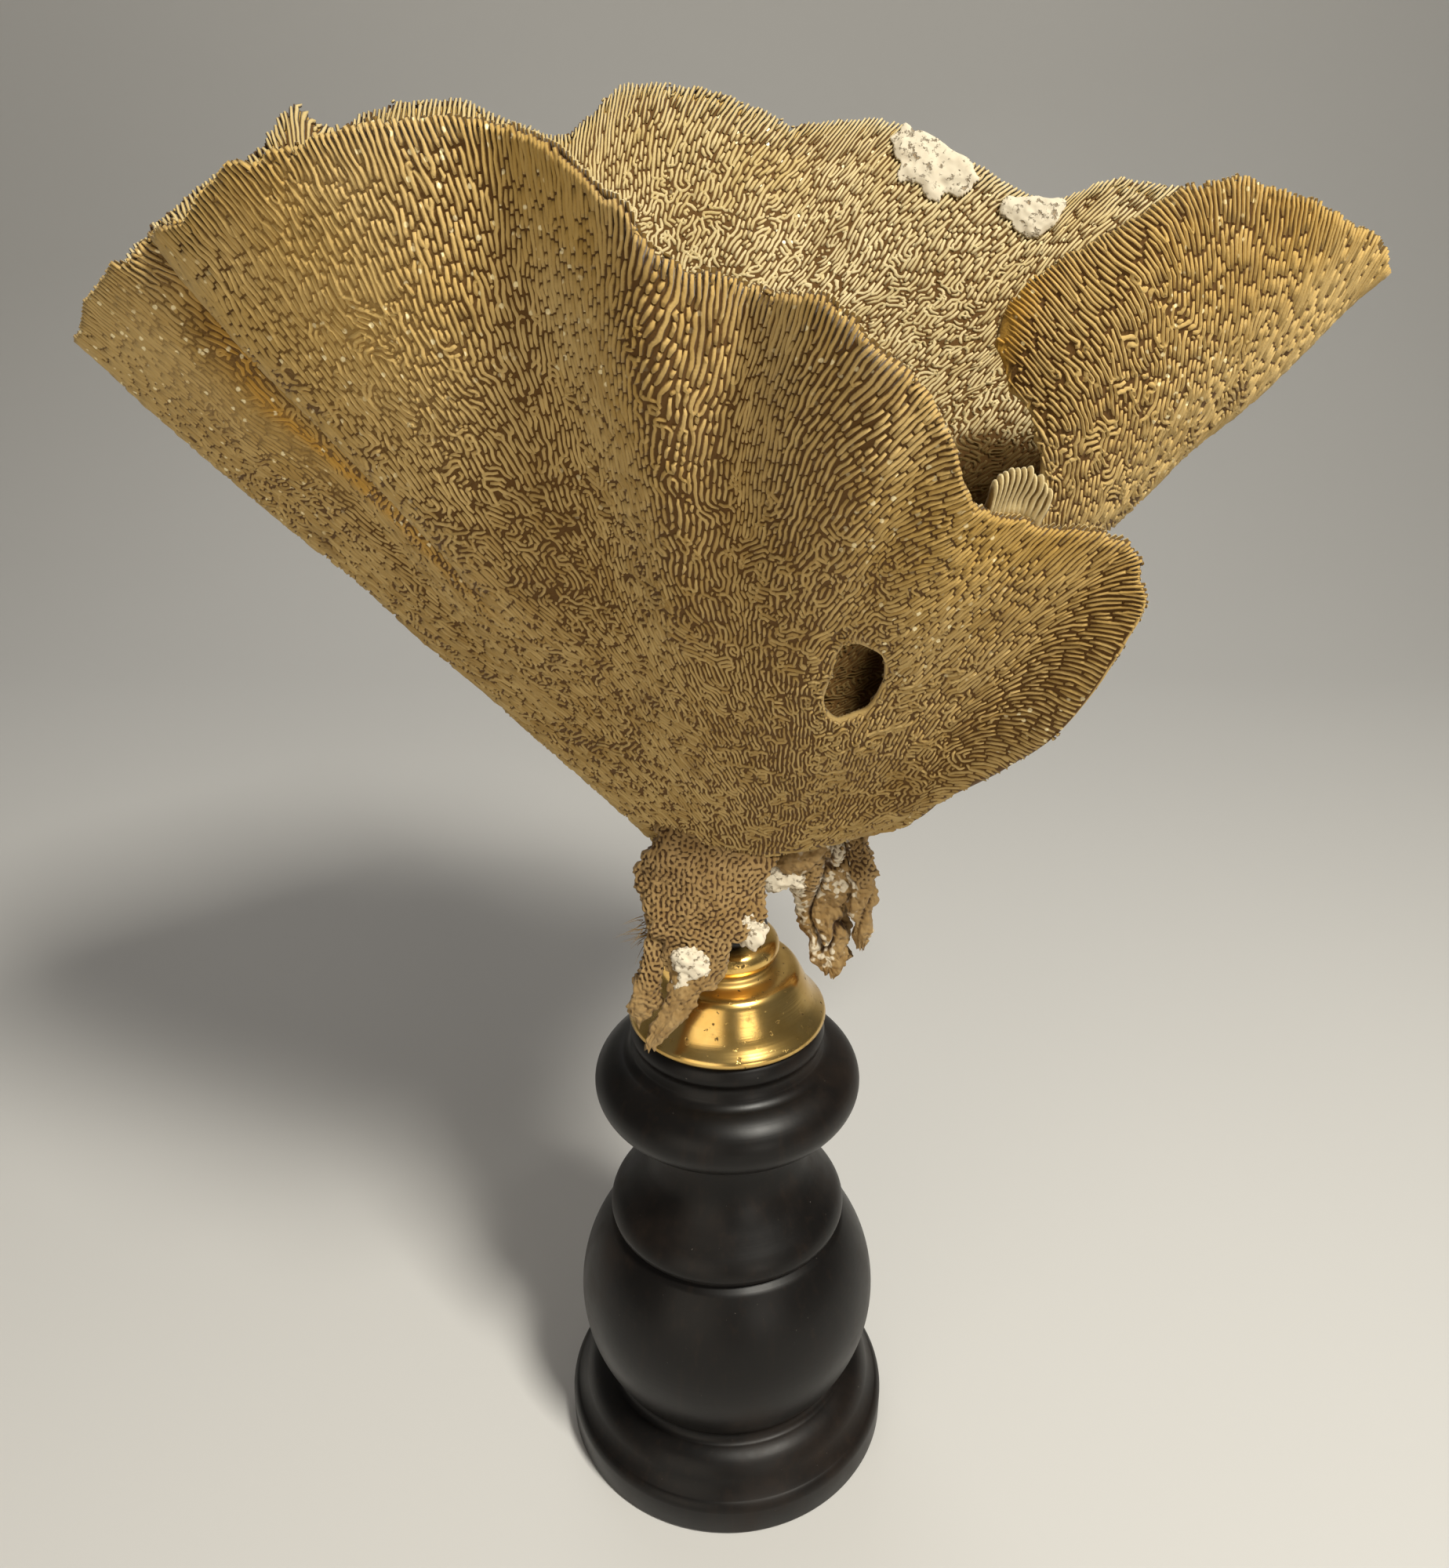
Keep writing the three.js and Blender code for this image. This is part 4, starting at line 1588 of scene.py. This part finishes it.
@dataclass
class Strap:
    """One torn strap of the hold-fast, with worn ridges on it and ragged edges."""

    name: str
    stations: Array
    phase: float
    around: int = 230
    down: int = 165
    ridge_height: float = 0.55
    ridge_pitch: float = 0.98
    waves: int = 22
    bare_from: float = 0.42
    lump: float = 0.7
    gnarl: float = 0.0
    rag: float = 1.0
    fray: float = 2.0
    limed: float = 0.0
    wave_tilt: float = 0.35
    wobble: float = 0.1
    corners: Pair = (0.9, 0.75)
    full_depth: float = 2.5
    bare_over: float = 0.25
    skin: float = 0.7
    crest_level: float = 0.8
    fray_from: float = 0.7
    fray_over: float = 0.3
    fray_pitch: float = 2.3
    end_drop: float = 0.4
    tears: Sequence[Layer] = (Layer(1.0, 2.6, 17.0), Layer(0.6, 1.0, 53.0))
    threads: Sequence[Layer] = (Layer(1.0, 0.9, 91.0), Layer(0.6, 0.5, 23.0))
    lumps: Sequence[Layer] = (Layer(1.0, 6.0), Layer(0.6, 2.6, 11.0))
    twists: Sequence[Layer] = (Layer(1.0, 3.0, 31.0, 0.35),)
    bareness: Sequence[Layer] = (Layer(0.6, 4.5),)
    streaks: Sequence[Layer] = (Layer(1.0, 0.8, 71.0, 0.15),)
    specks: Sequence[Layer] = (Layer(2.0, 3.1, 0.0, 0.45), Layer(1.4, 1.0, 37.0))
    tones: Sequence[Layer] = (Layer(0.5, 2.4), Layer(0.4, 0.9, 9.0))

    def ridged(self, p: Array) -> Array:
        """A worn maze of ridges made of crossing waves.

        Args:
            p: points of the strap.

        Returns:
            The maze there, from 0 in a groove to 1 on a crest.
        """
        rng = np.random.default_rng(int(self.phase * 10) + 90)
        total = np.zeros(len(p))
        for _ in range(self.waves):
            angle = rng.uniform(0.0, TURN)
            tilt = rng.normal(0.0, self.wave_tilt)
            shift = rng.uniform(0.0, TURN)
            way = unit(np.array([math.cos(angle), tilt, math.sin(angle)]))
            total += np.cos(p @ way * (TURN / self.ridge_pitch) + shift)
        return np.clip(0.6 + 1.1 * total / self.waves**0.5, 0.0, 1.0)

    def build(self, material: bpy.types.Material) -> None:
        """Makes and dresses the strap.

        Args:
            material: its finish.
        """
        noise = ValueNoise(int(self.phase * 10) + 3)
        levels = np.linspace(0.0, 1.0, self.down)
        path = spline(self.stations, levels)
        turn = np.linspace(0.0, TURN, self.around, endpoint=False)
        angle, row = every_pair(turn, np.arange(self.down))
        x, y, z, half_x, half_y = path[row].T
        level = levels[row]
        # the plain strap: a ring of soft corners at each level
        station = level * (len(self.stations) - 1)
        wave = 1.0 + self.wobble * np.sin(3 * angle + 2.1 * station + self.phase)
        ring = np.stack([np.cos(angle), np.sin(angle)], -1)
        ring = np.sign(ring) * np.abs(ring) ** np.array(self.corners)
        p = np.stack([x + half_x * wave * ring[:, 0], y + half_y * wave * ring[:, 1], z], -1)
        out = unit(np.stack([ring[:, 0] / half_x, ring[:, 1] / half_y, np.zeros(len(p))], -1))
        fit = np.clip(half_y / self.full_depth, 0.2, 1.0)
        # lumps, crevices and torn edges
        edge = np.abs(ring[:, 0]) ** 4
        torn = noise.mixed(p, self.tears)
        fine = noise.mixed(p, self.threads)
        lump = self.lump * (noise.mixed(p, self.lumps) + 0.25 * fine)
        twist = np.abs(noise.mixed(p, self.twists))
        crevice = self.gnarl * np.clip(1.0 - 5.0 * twist, 0.0, 1.0)
        rough = lump + self.gnarl * 0.8 * twist - crevice
        p = p + out * (rough * fit + self.rag * torn * edge)[:, None]
        # the worn maze above, bare streaked skin below
        below = (level - self.bare_from) / self.bare_over
        bare = np.clip(noise.mixed(p, self.bareness, below), 0.0, 1.0)
        streak = np.clip(noise.mixed(p, self.streaks), 0.0, 1.0)
        skin = self.skin - 0.4 * streak + 0.35 * fine
        crest = self.ridged(p) * (1.0 - 0.8 * bare) + skin * bare
        # The crevices also take the groove colour: painted shade in them.
        crest = np.clip(crest - 0.7 * crevice, 0.0, 1.0)
        p = p + out * ((crest - self.crest_level) * self.ridge_height * fit)[:, None]
        around = np.stack([9 * angle, 3 * np.sin(angle), 0 * angle], -1)
        frayed = ramp(level, self.fray_from, self.fray_over)
        p[:, 2] += frayed * self.fray * noise.at(around, self.fray_pitch)
        p = np.vstack([p, path[0, :3], path[-1, :3] - np.array([0, 0, self.end_drop])])
        speckled = noise.mixed(p, self.specks)
        numbers = {
            "crest": np.append(crest, [0.4, 0.4]),
            "grain": noise.mixed(p, self.tones, 0.5),
            "span": np.full(len(p), 0.2),
            "chalk": self.limed * np.clip(speckled - 0.1, 0.0, 1.0),
        }
        made = make_mesh(self.name, p, tube_faces(self.around, self.down, rising=False), numbers)
        dress(made, material, Slot.SPONGE, "sponge")


@dataclass
class Fibres:
    """A tuft of loose fibres where a strap has torn."""

    name: str
    at: Spot
    way: Spot
    count: int = 26
    length: float = 4.5
    spread: float = 1.6
    radius: float = 0.11
    steps: int = 7
    scatter: Spot = (0.3, 0.4, 1.0)
    stray: float = 0.35
    curl: float = 0.5
    lengths: Pair = (0.5, 1.1)

    def build(self, material: bpy.types.Material) -> None:
        """Makes and dresses the tuft.

        Args:
            material: its finish.
        """
        rng = np.random.default_rng(17)
        points, faces = [], []
        for _ in range(self.count):
            start = np.array(self.at) + rng.normal(0.0, self.spread, 3) * np.array(self.scatter)
            way = unit(np.array(self.way) + rng.normal(0.0, self.stray, 3))
            curl = rng.normal(0.0, self.curl, 3)
            t = np.linspace(0.0, 1.0, self.steps)[:, None]
            line = start + way * self.length * rng.uniform(*self.lengths) * t + curl * t**2 * 2.0
            side = unit(np.cross(way, [0.3, 0.2, 1.0]))
            other = np.cross(way, side)
            thin = self.radius * (1.1 - t)
            corners = [side * math.cos(a) + other * math.sin(a) for a in (0.0, 2.1, 4.2)]
            first = 3 * self.steps * len(points)
            last = first + 3 * (self.steps - 1)
            points.append(np.stack([line + thin * c for c in corners], 1).reshape(-1, 3))
            for low, a in itertools.product(range(first, last, 3), range(3)):
                b = (a + 1) % 3
                faces.append([low + a, low + b, low + 3 + b, low + 3 + a])
            faces.append([first + 2, first + 1, first, first])
            faces.append([last, last + 1, last + 2, last + 2])
        spots = np.concatenate(points)
        alike = {"crest": 1.0, "grain": 0.6, "span": 0.2}
        numbers = {key: np.full(len(spots), value) for key, value in alike.items()}
        dress(make_mesh(self.name, spots, np.array(faces), numbers), material, Slot.SPONGE, "sponge")


@dataclass
class Tongue:
    """The small toothed leaflet that stands behind the notch in the front wall."""

    at: Spot = (40.0, -44.4, 236.0)
    half_width: float = 5.2
    low: float = -9.0
    high: float = 5.6
    half_thickness: float = 1.1
    lean: float = 30.0
    turn: float = 0.3
    ridges: int = 11
    columns: int = 91
    rows: int = 44
    tooth: float = 1.5
    tooth_vary: float = 0.8
    waist: float = 0.72
    flare: float = 0.28
    cup: float = 1.6
    uneven: float = 0.3
    uneven_pitch: float = 3.0

    def build(self, material: bpy.types.Material) -> None:
        """Makes and dresses the leaflet.

        Args:
            material: its finish.
        """
        noise = ValueNoise(77)
        aa, tt = every_pair(np.linspace(-1.0, 1.0, self.columns), np.linspace(0.0, 1.0, self.rows))
        comb = 0.5 + 0.5 * np.cos(math.pi * self.ridges * aa)
        tall = self.tooth + self.tooth_vary * noise.along(17 * aa, 2.0)
        top = self.high * (1.0 - 0.45 * aa**2 - 0.25 * aa) + tall * comb
        x = self.half_width * aa * (self.waist + self.flare * tt)
        z = self.low + (top - self.low) * tt
        rounded_edge = np.sqrt(np.clip(1.0 - ramp(tt, 0.9, 0.1) ** 2, 0.06, 1.0))
        toothed = ramp(tt, 0.55, 0.35)
        half = self.half_thickness * rounded_edge * (0.9 + 0.1 * comb - 0.4 * toothed * (1.0 - comb))
        cup = self.cup * aa**2 + self.uneven * noise.at(np.stack([x, z, z], -1), self.uneven_pitch)
        front = np.stack([x, -half - cup, z], -1)
        back = np.stack([x, half - cup, z], -1)
        lean = math.radians(self.lean)
        tip = np.array([[1, 0, 0],
                        [0, math.cos(lean), -math.sin(lean)],
                        [0, math.sin(lean), math.cos(lean)]])
        spin = np.array([[math.cos(self.turn), -math.sin(self.turn), 0],
                         [math.sin(self.turn), math.cos(self.turn), 0],
                         [0, 0, 1]])
        points = np.concatenate([front, back]) @ (spin @ tip).T + np.array(self.at)
        faces = shell_quads(grid_quads(self.columns, self.rows)[:, ::-1], len(front))
        crest = np.clip(0.62 + 0.38 * comb - 0.75 * toothed * (1.0 - comb), 0.0, 1.0)
        alike = np.full(len(points), 0.8)
        numbers = {"crest": np.tile(crest, 2), "grain": alike, "span": alike}
        dress(make_mesh("notch_leaflet", points, faces, numbers), material, Slot.SPONGE, "sponge")


@dataclass
class LimePatch:
    """A thin white crust over the ridges, just below the margin."""

    name: str
    middle: Pair
    reach: Pair
    seed: int
    columns: int = 80
    rows: int = 60
    beyond: float = 1.5
    under: float = 1.2
    rise: float = 0.75
    least_step: float = 1e-5
    outline: Sequence[Layer] = (Layer(0.7, 4.0), Layer(0.35, 1.7, 20.0))
    lumps: Sequence[Layer] = (Layer(0.2, 1.6, 40.0), Layer(0.15, 0.8, 60.0))

    def build(self, surface: LeafSurface, material: bpy.types.Material) -> None:
        """Makes and dresses the crust on the leaf's inside.

        Args:
            surface: the leaf.
            material: the crust's finish.
        """
        noise = ValueNoise(self.seed)
        across, up = (np.linspace(-self.beyond, self.beyond, count) for count in (self.columns, self.rows))
        a, b = every_pair(across, up)
        u = self.middle[0] + self.reach[0] * a
        v = np.minimum(self.middle[1] + self.reach[1] * b, surface.reach(u) + 0.001)
        p, n, _, _ = surface.frame(u, v)
        body = noise.mixed(p, self.outline, 1.0 - a**2 - b**2)
        quads = grid_quads(self.columns, self.rows)
        solid = (body[quads] > 0.0).all(axis=1)
        left = v[quads[:, 1]] > v[quads[:, 0]] + self.least_step
        right = v[quads[:, 2]] > v[quads[:, 3]] + self.least_step
        used, faces = in_use(shell_quads(quads[solid & left & right], len(p)))
        lumps = noise.mixed(p, self.lumps, 0.4)
        thick = self.under + self.rise * np.clip(body * 1.6, 0.0, 1.0) * (0.6 + lumps)
        points = np.concatenate([p - n * self.under * 0.8, p - n * thick[:, None]])
        dress(make_mesh(self.name, points[used], faces), material, Slot.LIME, "sponge")


@dataclass
class LimeCrust:
    """White lime grown on the legs."""

    node: str
    at: Spot
    half: Spot
    seed: int
    around: int = 64
    rows: int = 42
    boxy: float = 0.8
    lumps: Sequence[Layer] = (Layer(0.4, 2.9, 30.0), Layer(0.26, 1.2, 60.0), Layer(0.13, 0.55))

    def build(self, material: bpy.types.Material) -> None:
        """Makes and dresses the crust.

        Args:
            material: its finish.
        """
        noise = ValueNoise(self.seed)
        turn = np.linspace(0.0, TURN, self.around, endpoint=False)
        tilt = np.linspace(-math.pi / 2, math.pi / 2, self.rows + 2)[1:-1]
        aa, tt = every_pair(turn, tilt)
        ball = np.stack([np.cos(tt) * np.cos(aa), np.cos(tt) * np.sin(aa), np.sin(tt)], -1)
        ball = np.sign(ball) * np.abs(ball) ** self.boxy
        ball = np.vstack([ball, [0.0, 0.0, -1.0], [0.0, 0.0, 1.0]])
        p = ball * np.array(self.half)
        p = p * (1.0 + noise.mixed(p, self.lumps))[:, None] + np.array(self.at)
        made = make_mesh(self.node + "_chip", p, tube_faces(self.around, self.rows))
        dress(made, material, Slot.LIME, self.node)


@dataclass
class Turned:
    """A turned piece about the stand's axis."""

    name: str
    node: str
    slot: Slot
    corners: Sequence[Pair]
    segments: int = 144
    longest: float = 3.3
    hollows: Sequence[Pair] = ()

    def profile(self) -> Array:
        """Splits the profile's long straight runs.

        Returns:
            Its pairs of radius and height.
        """
        pairs = [np.array(self.corners[0], float)]
        for a, b in zip(self.corners[:-1], self.corners[1:]):
            steps = max(1, int(math.dist(a, b) / self.longest))
            for k in range(1, steps + 1):
                pairs.append(np.array(a) + (np.array(b) - np.array(a)) * k / steps)
        return np.array(pairs)

    def build(self, material: bpy.types.Material) -> None:
        """Makes and dresses the piece.

        Args:
            material: its finish.
        """
        pairs = self.profile()
        turn = np.linspace(0.0, TURN, self.segments, endpoint=False)
        inner = pairs[1:-1]
        aa, kk = every_pair(turn, np.arange(len(inner)))
        radius, height = inner[kk].T
        points = np.stack([radius * np.cos(aa), radius * np.sin(aa), height], -1)
        points = np.vstack([points, [0.0, 0.0, pairs[0, 1]], [0.0, 0.0, pairs[-1, 1]]])
        hollow = np.zeros(len(points))
        for z, reach in self.hollows:
            near = np.clip(1.0 - np.abs(points[:, 2] - z) / reach, 0.0, 1.0)
            hollow = np.maximum(hollow, near)
        made = make_mesh(self.name, points, tube_faces(self.segments, len(inner)), {"hollow": hollow})
        dress(made, material, self.slot, self.node)


def arc(r: float, z: float, half_r: float, half_z: float, start: float, end: float,
        steps: int) -> List[Pair]:
    """Pairs of a turned profile along an arc.

    Args:
        r: the arc centre's radius.
        z: the arc centre's height.
        half_r: the arc's half size along the radius.
        half_z: the arc's half size along the axis.
        start: its first angle, in degrees from the radius.
        end: its last angle.
        steps: how many steps it takes.

    Returns:
        The pairs of radius and height.
    """
    angles = np.radians(np.linspace(start, end, steps + 1))
    return [(r + half_r * math.cos(a), z + half_z * math.sin(a)) for a in angles]


def rounded(points: Sequence[Pair], steps: int) -> List[Pair]:
    """A smooth profile through pairs of radius and height."""
    curve = spline(np.array(points, float), np.linspace(0.0, 1.0, steps))
    return [tuple(pair) for pair in curve]


@dataclass
class Stand:
    """The turned stand, its collar and its peg."""

    foot_radius: float = 38.0
    ball_radius: float = 34.2
    ball_z: float = 40.0
    top_z: float = 116.7
    collar_radius: float = 20.9
    collar_z: float = 117.0
    ring_radius: float = 10.8
    ring_top_z: float = 137.0
    peg_radius: float = 3.2
    peg_top_z: float = 164.0
    tarnished: Sequence[Pair] = ((130.2, 1.6), (137.2, 0.8), (117.2, 0.7))

    def wood(self) -> List[Pair]:
        """Draws the stand's profile.

        Returns:
            Its pairs of radius and height, from the bottom up.
        """
        edge = self.foot_radius
        foot = [(0.0, 0.0), (edge - 0.8, 0.0), (edge - 0.2, 0.25), (edge, 0.8)]
        foot += arc(edge - 3, 6.8, 3, 3, 0, 60, 10) + arc(27.5, 9.4, 7.6, 8.8, 20, 80, 14)
        ball = arc(0, self.ball_z, self.ball_radius, self.ball_radius, -36, 40, 44)
        groove = [(24.9, 62.6), (24.6, 63.0), (25.0, 63.4)]
        bead = rounded([(26.2, 64.2), (26.5, 66), (25.4, 68.6), (22.6, 72), (19.8, 75.6), (17.8, 79.5),
                        (16.6, 85), (17.4, 90.6)], 40)
        bun = arc(18.6, 100.4, 10.2, 8, -78, 70, 40)
        fillets = [(21.0, 108.9), (20.8, 109.4), (20.7, 109.8), (20.2, 110.6), (20.2, 112), (20.6, 112.6),
                   (20.8, 113.2), (20.7, 114.2), (20.2, 115.4), (19.4, self.top_z), (0.0, self.top_z)]
        return foot + ball + groove + bead + bun + fillets

    def collar(self) -> List[Pair]:
        """Draws the collar's profile.

        Returns:
            Its pairs of radius and height, from the bottom up.
        """
        edge = self.collar_radius
        low = self.collar_z
        rim = [(0.0, low), (edge - 0.5, low), (edge, low + 0.6)]
        cone = rounded([(edge - 0.2, low + 1.4), (18.2, 121.5), (16, 126), (14.9, 128), (13.6, 128.9),
                        (10.6, 129.4), (9.6, 130.4)], 48)
        ring = arc(self.ring_radius - 3, 133.7, 3, 3, -70, 70, 24)
        return rim + cone + ring + [(self.ring_radius - 3, self.ring_top_z), (0.0, self.ring_top_z)]

    def peg(self) -> List[Pair]:
        """Draws the peg's profile.

        Returns:
            Its pairs of radius and height, from the bottom up.
        """
        base = self.ring_top_z + 0.3
        dome = [(0.0, base), (7.6, base)] + arc(3.4, base, 5, 5.6, 10, 70, 20)
        edge = self.peg_radius
        top = self.peg_top_z
        pin = [(edge, base + 7), (edge, top - 1.4), (edge - 0.5, top - 0.4), (edge - 1.2, top)]
        return dome + pin + [(0.0, top)]

    def build(self) -> None:
        """Makes and dresses the three turned pieces."""
        stand = Turned("turned_stand", "stand", Slot.WOOD, self.wood())
        stand.build(EbonyFinish().build())
        collar = Turned("collar", "brass_collar", Slot.BRASS, self.collar(), hollows=self.tarnished)
        collar.build(BrassFinish().build())
        peg = Turned("knob_and_pin", "peg", Slot.PEG, self.peg(), segments=72)
        peg.build(PegFinish().build())


@dataclass(frozen=True)
class Lamp:
    """A soft square light that faces the sponge."""

    name: str
    at: Spot
    power: float
    size: float
    tint: Colour = (1.0, 1.0, 1.0)

    def hang(self, target: Spot) -> None:
        """Hangs the lamp.

        Args:
            target: the point that it faces, in millimetres.
        """
        lamp = bpy.data.lights.new(self.name, "AREA")
        lamp.energy = self.power
        lamp.size = self.size * MM
        lamp.color = self.tint
        made = bpy.data.objects.new(self.name, lamp)
        made.location = [c * MM for c in self.at]
        aim = np.array(target) - np.array(self.at, float)
        rise = math.atan2(aim[2], math.hypot(aim[0], aim[1]))
        heading = math.atan2(aim[1], aim[0])
        made.rotation_euler = (math.pi / 2 + rise, 0.0, heading - math.pi / 2)
        bpy.context.collection.objects.link(made)


@dataclass
class Studio:
    """The pale sweep, the soft lights and the camera."""

    eye: Spot = (-0.6, -227.5, 280.7)
    pitch: float = 25.85
    lens: float = 29.7
    sensor: float = 36.0
    sweep_near: float = -1500.0
    sweep_bend: float = 500.0
    sweep_radius: float = 600.0
    sweep_top: float = 2200.0
    sweep_side: float = 2500.0
    target: Spot = (0.0, 0.0, 190.0)
    lamps: Sequence[Lamp] = (
        Lamp("key", (320, -400, 830), 8.8, 170, (1.0, 0.965, 0.87)),
        Lamp("fill", (-380, -760, 300), 1.5, 600, (1.0, 0.89, 0.74)),
        Lamp("strip", (330, -640, 220), 0.55, 240, (1.0, 0.93, 0.82)),
        Lamp("back", (-150, 650, 700), 0.8, 500),
    )
    air: Colour = (0.95, 0.93, 0.9)
    air_strength: float = 0.11

    def floor(self) -> None:
        """Lays the sweep: a floor that curves up into a wall behind."""
        wall = self.sweep_bend + self.sweep_radius
        depth = np.concatenate([[self.sweep_near], np.linspace(self.sweep_bend, wall, 24), [wall]])
        into = np.maximum(depth - self.sweep_bend, 0.0)
        rise = self.sweep_radius - np.sqrt(np.maximum(0.0, self.sweep_radius**2 - into**2))
        rise[-1] = self.sweep_top
        points = [(x, y, z) for x in (-self.sweep_side, self.sweep_side) for y, z in zip(depth, rise)]
        made = make_mesh("pale_sweep", np.array(points), grid_quads(2, len(depth))[:, ::-1])
        made.data.materials.append(FloorFinish().build())

    def room(self) -> None:
        """Fills the room with soft light."""
        world = bpy.data.worlds.new("soft_room")
        world.use_nodes = True
        air = world.node_tree.nodes["Background"].inputs
        air["Color"].default_value = (*self.air, 1.0)
        air["Strength"].default_value = self.air_strength
        bpy.context.scene.world = world

    def camera(self) -> None:
        """Sets the camera up."""
        camera = bpy.data.cameras.new("camera")
        camera.lens = self.lens
        camera.sensor_width = self.sensor
        made = bpy.data.objects.new("camera", camera)
        made.location = [c * MM for c in self.eye]
        made.rotation_euler = (math.radians(90.0 - self.pitch), 0.0, 0.0)
        bpy.context.collection.objects.link(made)
        bpy.context.scene.camera = made
        bpy.context.scene.view_settings.view_transform = "Standard"

    def build(self) -> None:
        """Sets the stage."""
        self.floor()
        for lamp in self.lamps:
            lamp.hang(self.target)
        self.room()
        self.camera()


OUTSIDE = SpongeFinish(
    "sponge_outside", ridge=(0.39, 0.245, 0.07), pale=(0.58, 0.41, 0.16), gold=(0.48, 0.285, 0.045),
    groove=(0.1, 0.044, 0.003), painted_glint_strength=0.9)
# The inside is paler and yellower than the outside: painted light, as the inside faces the lamps and the
# outside lies in shade.
INSIDE = SpongeFinish(
    "sponge_inside", ridge=(0.52, 0.4, 0.18), pale=(0.74, 0.62, 0.36), gold=(0.55, 0.39, 0.13),
    groove=(0.13, 0.07, 0.008), painted_shade_inside=0.93)
STALK = SpongeFinish(
    "sponge_stalk", ridge=(0.225, 0.13, 0.038), pale=(0.33, 0.215, 0.085), gold=(0.24, 0.13, 0.028),
    groove=(0.06, 0.026, 0.004))
RIM_CRUSTS = (
    LimePatch("rim_crust_1", (0.677, 0.965), (0.0095, 0.045), 61),
    LimePatch("rim_crust_2", (0.699, 0.965), (0.0065, 0.03), 63),
)
STRAPS = (
    Strap("left_leg", LEFT_LEG, 0.0),
    Strap("left_leg_lobe", OUTER_LOBE, 1.0, 100, 100),
    Strap("right_leg", RIGHT_LEG, 2.0, bare_from=0.2, lump=1.1, gnarl=1.0, limed=1.0),
    Strap("right_leg_shred", SHRED, 4.0, 84, 100, bare_from=0.3, lump=0.8, gnarl=0.6, limed=0.8),
    Strap("torn_web", WEB, 3.0, 150, 60, bare_from=0.0, lump=1.0, gnarl=0.8, limed=0.6),
)
TUFT = Fibres("torn_fibres", (-16.0, -11.0, 144.0), (-1.0, -0.2, -0.15))
LEG_CRUSTS = (
    LimeCrust("lime_crust_left", (-7.2, -16.9, 138.5), (3.8, 2.0, 4.6), 5),
    LimeCrust("lime_crust_inner", (4.0, -12.9, 145.5), (2.8, 2.0, 3.6), 6),
    LimeCrust("lime_crust_right", (10.6, -3.7, 152.0), (4.0, 2.2, 2.6), 8),
)


def main() -> None:
    """Builds the pieces in order."""
    logging.basicConfig(level=logging.INFO, format="%(name)s: %(message)s")
    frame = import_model()
    LOG.info("frame: %s", type(frame).__name__)
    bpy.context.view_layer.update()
    Studio().build()
    Stand().build()
    outside, inside, stalk, lime = (finish.build() for finish in (OUTSIDE, INSIDE, STALK, LimeFinish()))
    leaf = Leaf()
    leaf.build(outside, inside)
    for crust in RIM_CRUSTS:
        crust.build(leaf.surface, lime)
    Tongue().build(inside)
    for strap in STRAPS:
        strap.build(stalk)
    TUFT.build(stalk)
    for crust in LEG_CRUSTS:
        crust.build(lime)


if __name__ == "__main__":
    main()
